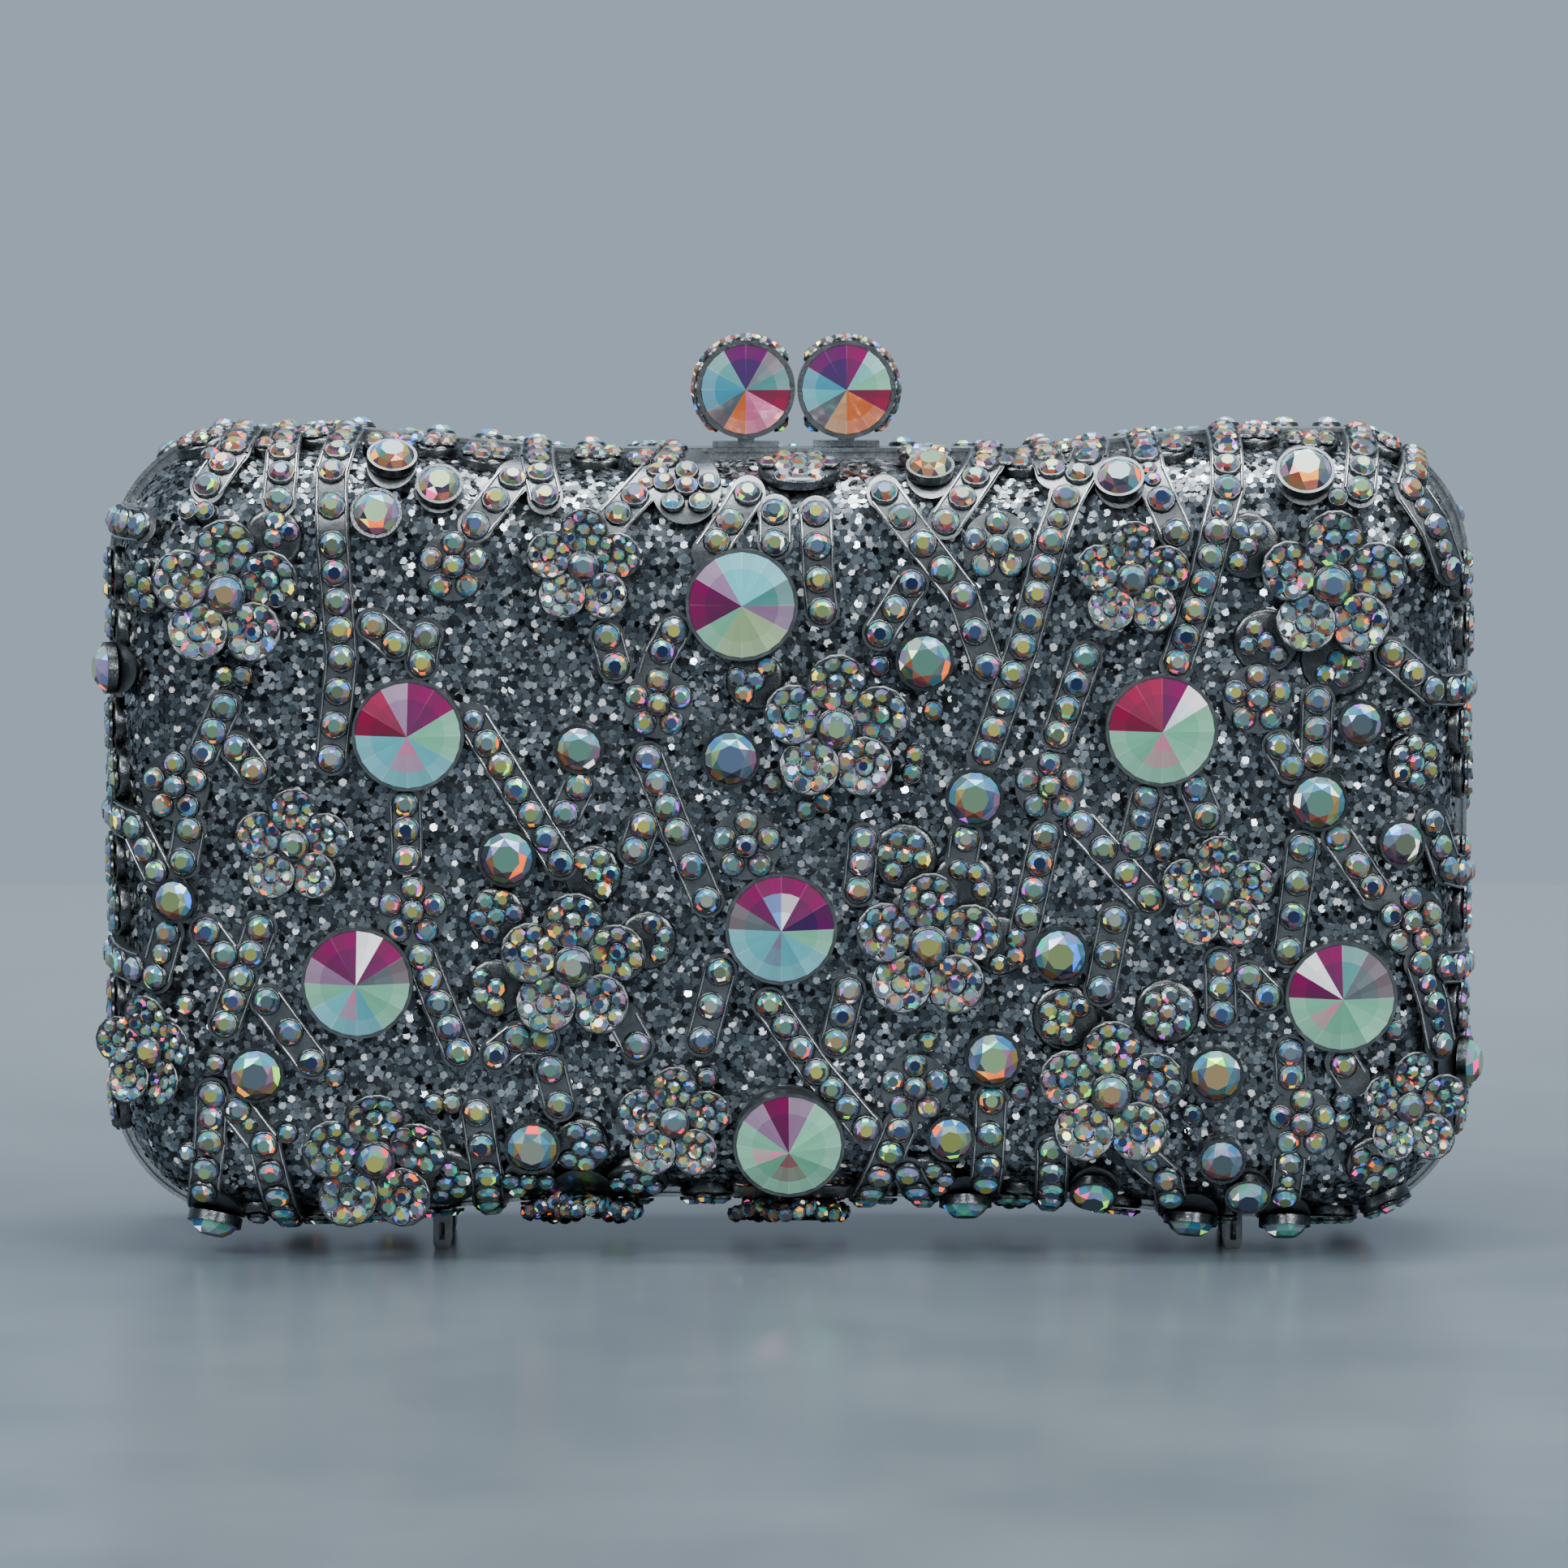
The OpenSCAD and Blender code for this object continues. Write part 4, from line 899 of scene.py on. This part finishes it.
def addLargeStones(side):
    copies = []
    lift = cup["seat"] + large["height"] + cup["gap"]
    size = Matrix.Diagonal((large["size"] / 2, large["size"] / 2, large["point"], 1))
    for i, share in enumerate(largeShares):
        at = onHalf(side, *place(share), lift)
        copies.append((shapes["point"], at @ size, pointPaint(pointPaints[i], pointPaintedReflections[i])))
    gather(side, "large_stone_set", copies, pointGlass, ["large_stones"])


# The drums stand side by side. Their pave leaves out the side that faces the other drum and the foot.
clasp = {
    "x": 1, "pitch": 13.6, "radius": 6.65, "length": 8, "stone": 12, "point": 2.2, "lift": 0.02,
    "rows": (-2.6, 0, 2.6), "count": 16, "small": 2.2, "ring": 2.16, "bare": 0.8
}
claspPaints = {"front": "tgddtqqgossc", "back": "mtpddqagyooc"}


def addClasp(side):
    sign = -1 if side == "front" else 1
    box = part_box(side + "_clasp_drum")
    centre = Vector((clasp["x"] + sign * clasp["pitch"] / 2, 0, (box[0].z + box[1].z) / 2 / mm))
    drum = Matrix.Scale(mm, 4) @ Matrix.Translation(centre)
    size = Matrix.Diagonal((clasp["stone"] / 2, clasp["stone"] / 2, clasp["point"], 1))
    stones = []
    for face in (-1, 1):
        at = drum @ moved(0, face * (clasp["length"] / 2 + cup["gap"]), 0)
        at = at @ turned(-face * pi / 2, "X")
        stones.append((shapes["point"], at @ size, pointPaint(claspPaints[side], {})))
    gather(side, "clasp_stone_set", stones, pointGlass, ["clasp_stones"])
    pave, rings = [], []
    for row in clasp["rows"]:
        for k in range(clasp["count"]):
            angle = 2 * pi * (k + (0.5 if row == 0 else 0)) / clasp["count"]
            if cos(angle) * -sign > clasp["bare"] or sin(angle) < -clasp["bare"]:
                continue
            at = drum @ turned(-angle, "Y") @ moved(clasp["radius"] + clasp["lift"], row, 0)
            at = at @ turned(pi / 2, "Y")
            pave.append((shapes["small"], scaled(at, clasp["small"]), stonePaint("small")))
            rings.append(ringAt(at, clasp["ring"]))
    gather(side, "clasp_pave", pave, stoneGlass)
    gather(side, "clasp_pave_seats", rings, paintedShadeMetal, smooth=True)


# Raised edges of the ribs: thin rods along both sides, left out where another rib or a pad crosses.
rails = {
    "radius": 0.22, "inset": 0.28, "step": 0.9, "lift": 0.05,
    "fromEdge": 0.05, "intoPad": 0.1, "intoRib": 0.45
}


def addRails(side):
    curve = bpy.data.curves.new(side + "_rib_edges", "CURVE")
    curve.dimensions = "3D"
    curve.bevel_depth = rails["radius"] * mm
    curve.bevel_resolution = 0
    offset = ribs["width"] / 2 - rails["inset"]
    for a, b in ribSegments:
        length = dist(a, b)
        nx, ny = -(b[1] - a[1]) / length, (b[0] - a[0]) / length
        steps = max(2, int(length / rails["step"]))
        for sign in (-1, 1):
            line = []
            for k in range(steps + 1):
                x = a[0] + (b[0] - a[0]) * k / steps + nx * sign * offset
                y = a[1] + (b[1] - a[1]) * k / steps + ny * sign * offset
                crossed = onPad(x, y, rails["intoPad"]) or onRib(x, y, rails["intoRib"])
                if edgeAt(x, y)[0] > rails["fromEdge"] and not crossed:
                    line.append(onHalf(side, x, y, rails["lift"]).translation)
                else:
                    addLine(curve, line)
                    line = []
            addLine(curve, line)
    temporary = bpy.data.objects.new(side + "_rib_edges_curve", curve)
    bpy.context.scene.collection.objects.link(temporary)
    bpy.context.view_layer.update()
    mesh = bpy.data.meshes.new_from_object(temporary.evaluated_get(bpy.context.evaluated_depsgraph_get()))
    bpy.data.objects.remove(temporary)
    mesh.name = side + "_rib_edges"
    mesh.materials.clear()
    mesh.materials.append(brightMetal)
    piece = bpy.data.objects.new(side + "_rib_edges", mesh)
    bpy.context.scene.collection.objects.link(piece)
    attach(piece, side)


def addLine(curve, line):
    if len(line) < 2:
        return
    spline = curve.splines.new("POLY")
    spline.points.add(len(line) - 1)
    for point, at in zip(spline.points, line):
        point.co = (*at, 1)


# The outline of a half as straight stretches: start, direction, inward normal, length.
def outlineStretches():
    top, flat = halfHeight, case["flatWidth"] / 2
    slopeLength = hypot(ridgeX - flat, case["dip"])
    up, across = sin(slope), cos(slope)
    stretches = []
    for sy in (-1, 1):
        stretches.append(((-flat, sy * levelY), (1, 0), (0, -sy), case["flatWidth"]))
        for sx in (-1, 1):
            along, inward = (sx * across, sy * up), (sx * up, -sy * across)
            stretches.append(((sx * flat, sy * levelY), along, inward, slopeLength))
            stretches.append(((sx * ridgeX, sy * top), (sx, 0), (0, -sy), cornerX - ridgeX))
    for sx in (-1, 1):
        stretches.append(((sx * halfWidth, -cornerY), (0, 1), (-sx, 0), 2 * cornerY))
    return stretches


# Hexagon flakes over the glitter cover: a jittered grid on the face, and rows round the walls and corners.
flakes = {
    "pitch": 0.92, "rowShare": 0.9, "jitter": 0.25, "rowJitter": 0.2, "cornerJitter": 0.6, "start": 0.3,
    "lift": 0.12, "liftSpread": 0.12, "lean": 0.16, "turn": 2, "least": 0.88, "most": 1.25, "inset": 0.3
}


def flakePlaces():
    pitch, jitter = flakes["pitch"], flakes["jitter"]
    halfX, halfY = halfWidth - edgeU, halfHeight - edgeU
    row, y = 0, -halfY
    while y < halfY:
        x = -halfX + (row % 2) * pitch / 2
        while x < halfX:
            if edgeAt(x, y)[0] > edgeU:
                yield x + random.uniform(-jitter, jitter), y + random.uniform(-jitter, jitter)
            x += pitch
        y += pitch * flakes["rowShare"]
        row += 1
    jitter = flakes["rowJitter"]
    for k in range(int(flatRun / pitch) + 1):
        u = uOf(min(flatRun, flakes["start"] + k * pitch))
        for start, along, inward, length in outlineStretches():
            for i in range(int(length / pitch) + 1):
                s = (i + 0.5 * (k % 2) + random.uniform(-jitter, jitter)) * pitch
                yield start[0] + along[0] * s + inward[0] * u, start[1] + along[1] * s + inward[1] * u
        radius = case["corner"] - u
        count = max(1, int(radius * pi / 2 / pitch))
        for sx in (-1, 1):
            for sy in (-1, 1):
                for i in range(count):
                    a = pi / 2 * (i + random.random() * flakes["cornerJitter"]) / count
                    yield sx * (cornerX + radius * cos(a)), sy * (cornerY + radius * sin(a))


# Flake tones from near black to white, by chance; the white ones are painted glints and glow.
flakeTones = [hexColour(t) for t in "#15181a #3b4246 #565e64 #717a80 #939ca2 #c3cbd0 #ffffff".split()]
flakeWeights = (8, 18, 28, 26, 13, 5, 2)
flakeSpots = [(x, y) for x, y in flakePlaces() if not underCage(x, y, flakes["inset"])]
print("flakes", len(flakeSpots))


def addFlakes(side):
    copies = []
    for x, y in flakeSpots:
        lift = -case["coverDrop"] + flakes["lift"] + random.random() * flakes["liftSpread"]
        at = onHalf(side, x, y, lift) @ turned(random.gauss(0, flakes["lean"]), "X")
        at = at @ turned(random.gauss(0, flakes["lean"]), "Y")
        at = at @ turned(random.random() * flakes["turn"], "Z")
        at = scaled(at, random.uniform(flakes["least"], flakes["most"]))
        copies.append((shapes["flake"], at, [random.choices(flakeTones, flakeWeights)[0]]))
    gather(side, "glitter_flakes", copies, flakeMetal)


# The medium cups take the darker cast metal, painted shade round their stones.
cadLooks = {
    "frame": brightMetal, "shell": shellMetal, "glitter_cover": glitter, "lining": lining, "cage": castMetal,
    "medium_cups": paintedShadeMetal, "large_cups": castMetal, "hinge_leaf": hingeMetal, "feet": castMetal,
    "clasp_saddle": brightMetal, "clasp_arm": brightMetal, "clasp_drum": castMetal
}
for name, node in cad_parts.items():
    kind = name.replace("front_", "").replace("back_", "")
    look = cadLooks.get(kind, hingeMetal if name == "hinge_pin" else stoneGlass)
    node.data.materials.clear()
    node.data.materials.append(look)
print("CAD looks set")

fillers, fillerPlates = findFillers()
print("fill stones", len(fillers))
for side in ("front", "back"):
    addRibStones(side)
    addFillers(side)
    addStars(side)
    addFlowers(side)
    addMediumStones(side)
    addLargeStones(side)
    addClasp(side)
    addRails(side)
    addFlakes(side)
    print(side, "half dressed")


# Pale glossy table with faint cloudy marks, and painted light that makes it paler towards its far edge, which
# shows behind the case.
tabletop = {
    "side": 2.5, "near": -1.32, "far": 0.48, "cloud": 60, "clouds": ("#4d575f", "#5c666e"), "pale": "#87929a"
}


def addTable():
    side, near, far = tabletop["side"], tabletop["near"], tabletop["far"]
    mesh = bpy.data.meshes.new("table")
    mesh.from_pydata([(-side, near, 0), (side, near, 0), (side, far, 0), (-side, far, 0)], [], [(0, 1, 2, 3)])
    material, tree = newMaterial("pale_polished_stone_table")
    where = addNode(tree, "TexCoord").outputs["Object"]
    size = 1 / (tabletop["cloud"] * mm)
    clouds = addNode(tree, "TexNoise", links={"Vector": where}, Scale=size, Detail=5.0)
    shade = addNode(tree, "ValToRGB", links={0: clouds.outputs[0]})
    for element, position, colour in zip(shade.color_ramp.elements, (0.35, 0.7), tabletop["clouds"]):
        element.position = position
        element.color = hexColour(colour)
    # Painted light: the table turns paler towards its far edge.
    depth = addNode(tree, "SeparateXYZ", links={0: where}).outputs[1]
    paintedLightShare = mapped(tree, depth, From_Max=far)
    paintedLightMix = addNode(tree, "Mix", {"data_type": "RGBA"}, {0: paintedLightShare, 6: shade.outputs[0]})
    paintedLightMix.inputs[7].default_value = hexColour(tabletop["pale"])
    finishMaterial(tree, {"Base Color": paintedLightMix.outputs[2]}, Roughness=0.28, Specular_IOR_Level=0.6)
    mesh.materials.append(material)
    table = bpy.data.objects.new("table", mesh)
    bpy.context.scene.collection.objects.link(table)


# Soft lamps and two small glints, all aimed at the middle of the case: width, watts and place in metres.
lamps = {
    "top_softbox": (0.6, 14, (0.05, -0.02, 0.8)), "left_softbox": (0.35, 7, (-0.55, -0.5, 0.62)),
    "right_softbox": (0.3, 5.6, (0.55, -0.55, 0.55)), "front_glint": (0.05, 2, (-0.15, -0.9, 0.5)),
    "side_glint": (0.04, 1.4, (0.4, -0.8, 0.3))
}
lampAim = (0, 0, 0.055)


def addLight(name, size, watts, at):
    data = bpy.data.lights.new(name, "AREA")
    data.size = size
    data.energy = watts
    lamp = bpy.data.objects.new(name, data)
    lamp.location = at
    lamp.rotation_euler = (Vector(lampAim) - Vector(at)).to_track_quat("-Z", "Y").to_euler()
    bpy.context.scene.collection.objects.link(lamp)


# Pale behind the table and above, darker on the camera's side so that the metal keeps its depth, and
# weak as a fill light so that the case throws a soft shadow.
studio = {"dark": "#545e64", "pale": "#9eaebf", "behind": (-0.2, 0.5), "above": (0.0, 0.6), "fill": 0.4}


def addWorld():
    world = bpy.data.worlds.new("studio")
    world.use_nodes = True
    tree = world.node_tree
    tree.nodes.clear()
    where = addNode(tree, "TexCoord").outputs["Generated"]
    toward = addNode(tree, "SeparateXYZ", links={0: where})
    behind = mapped(tree, toward.outputs[1], From_Min=studio["behind"][0], From_Max=studio["behind"][1])
    above = mapped(tree, toward.outputs[2], From_Min=studio["above"][0], From_Max=studio["above"][1])
    pale = addNode(tree, "Math", {"operation": "MAXIMUM"}, {0: behind, 1: above})
    mix = addNode(tree, "Mix", {"data_type": "RGBA"}, {0: pale.outputs[0]})
    mix.inputs[6].default_value = hexColour(studio["dark"])
    mix.inputs[7].default_value = hexColour(studio["pale"])
    diffuse = addNode(tree, "LightPath").outputs["Is Diffuse Ray"]
    fill = mapped(tree, diffuse, To_Min=1.0, To_Max=studio["fill"])
    background = addNode(tree, "Background", links={"Color": mix.outputs[2], "Strength": fill})
    addNode(tree, "OutputWorld", links={"Surface": background.outputs[0]})
    bpy.context.scene.world = world


addTable()
addWorld()
for name, (size, watts, at) in lamps.items():
    addLight(name, size, watts, at)

# A long lens, level with the case and a little above it, one metre away.
shot = {"lens": 168.6, "sensor": 36, "distance": 1, "up": radians(5), "aim": (-0.00065, 0, 0.0624)}
camera = bpy.data.cameras.new("camera")
camera.lens = shot["lens"]
camera.sensor_width = shot["sensor"]
view = bpy.data.objects.new("camera", camera)
aim = Vector(shot["aim"])
view.location = aim + shot["distance"] * Vector((0, -cos(shot["up"]), sin(shot["up"])))
view.rotation_euler = (aim - view.location).to_track_quat("-Z", "Y").to_euler()
bpy.context.scene.collection.objects.link(view)
bpy.context.scene.camera = view
print("studio set")
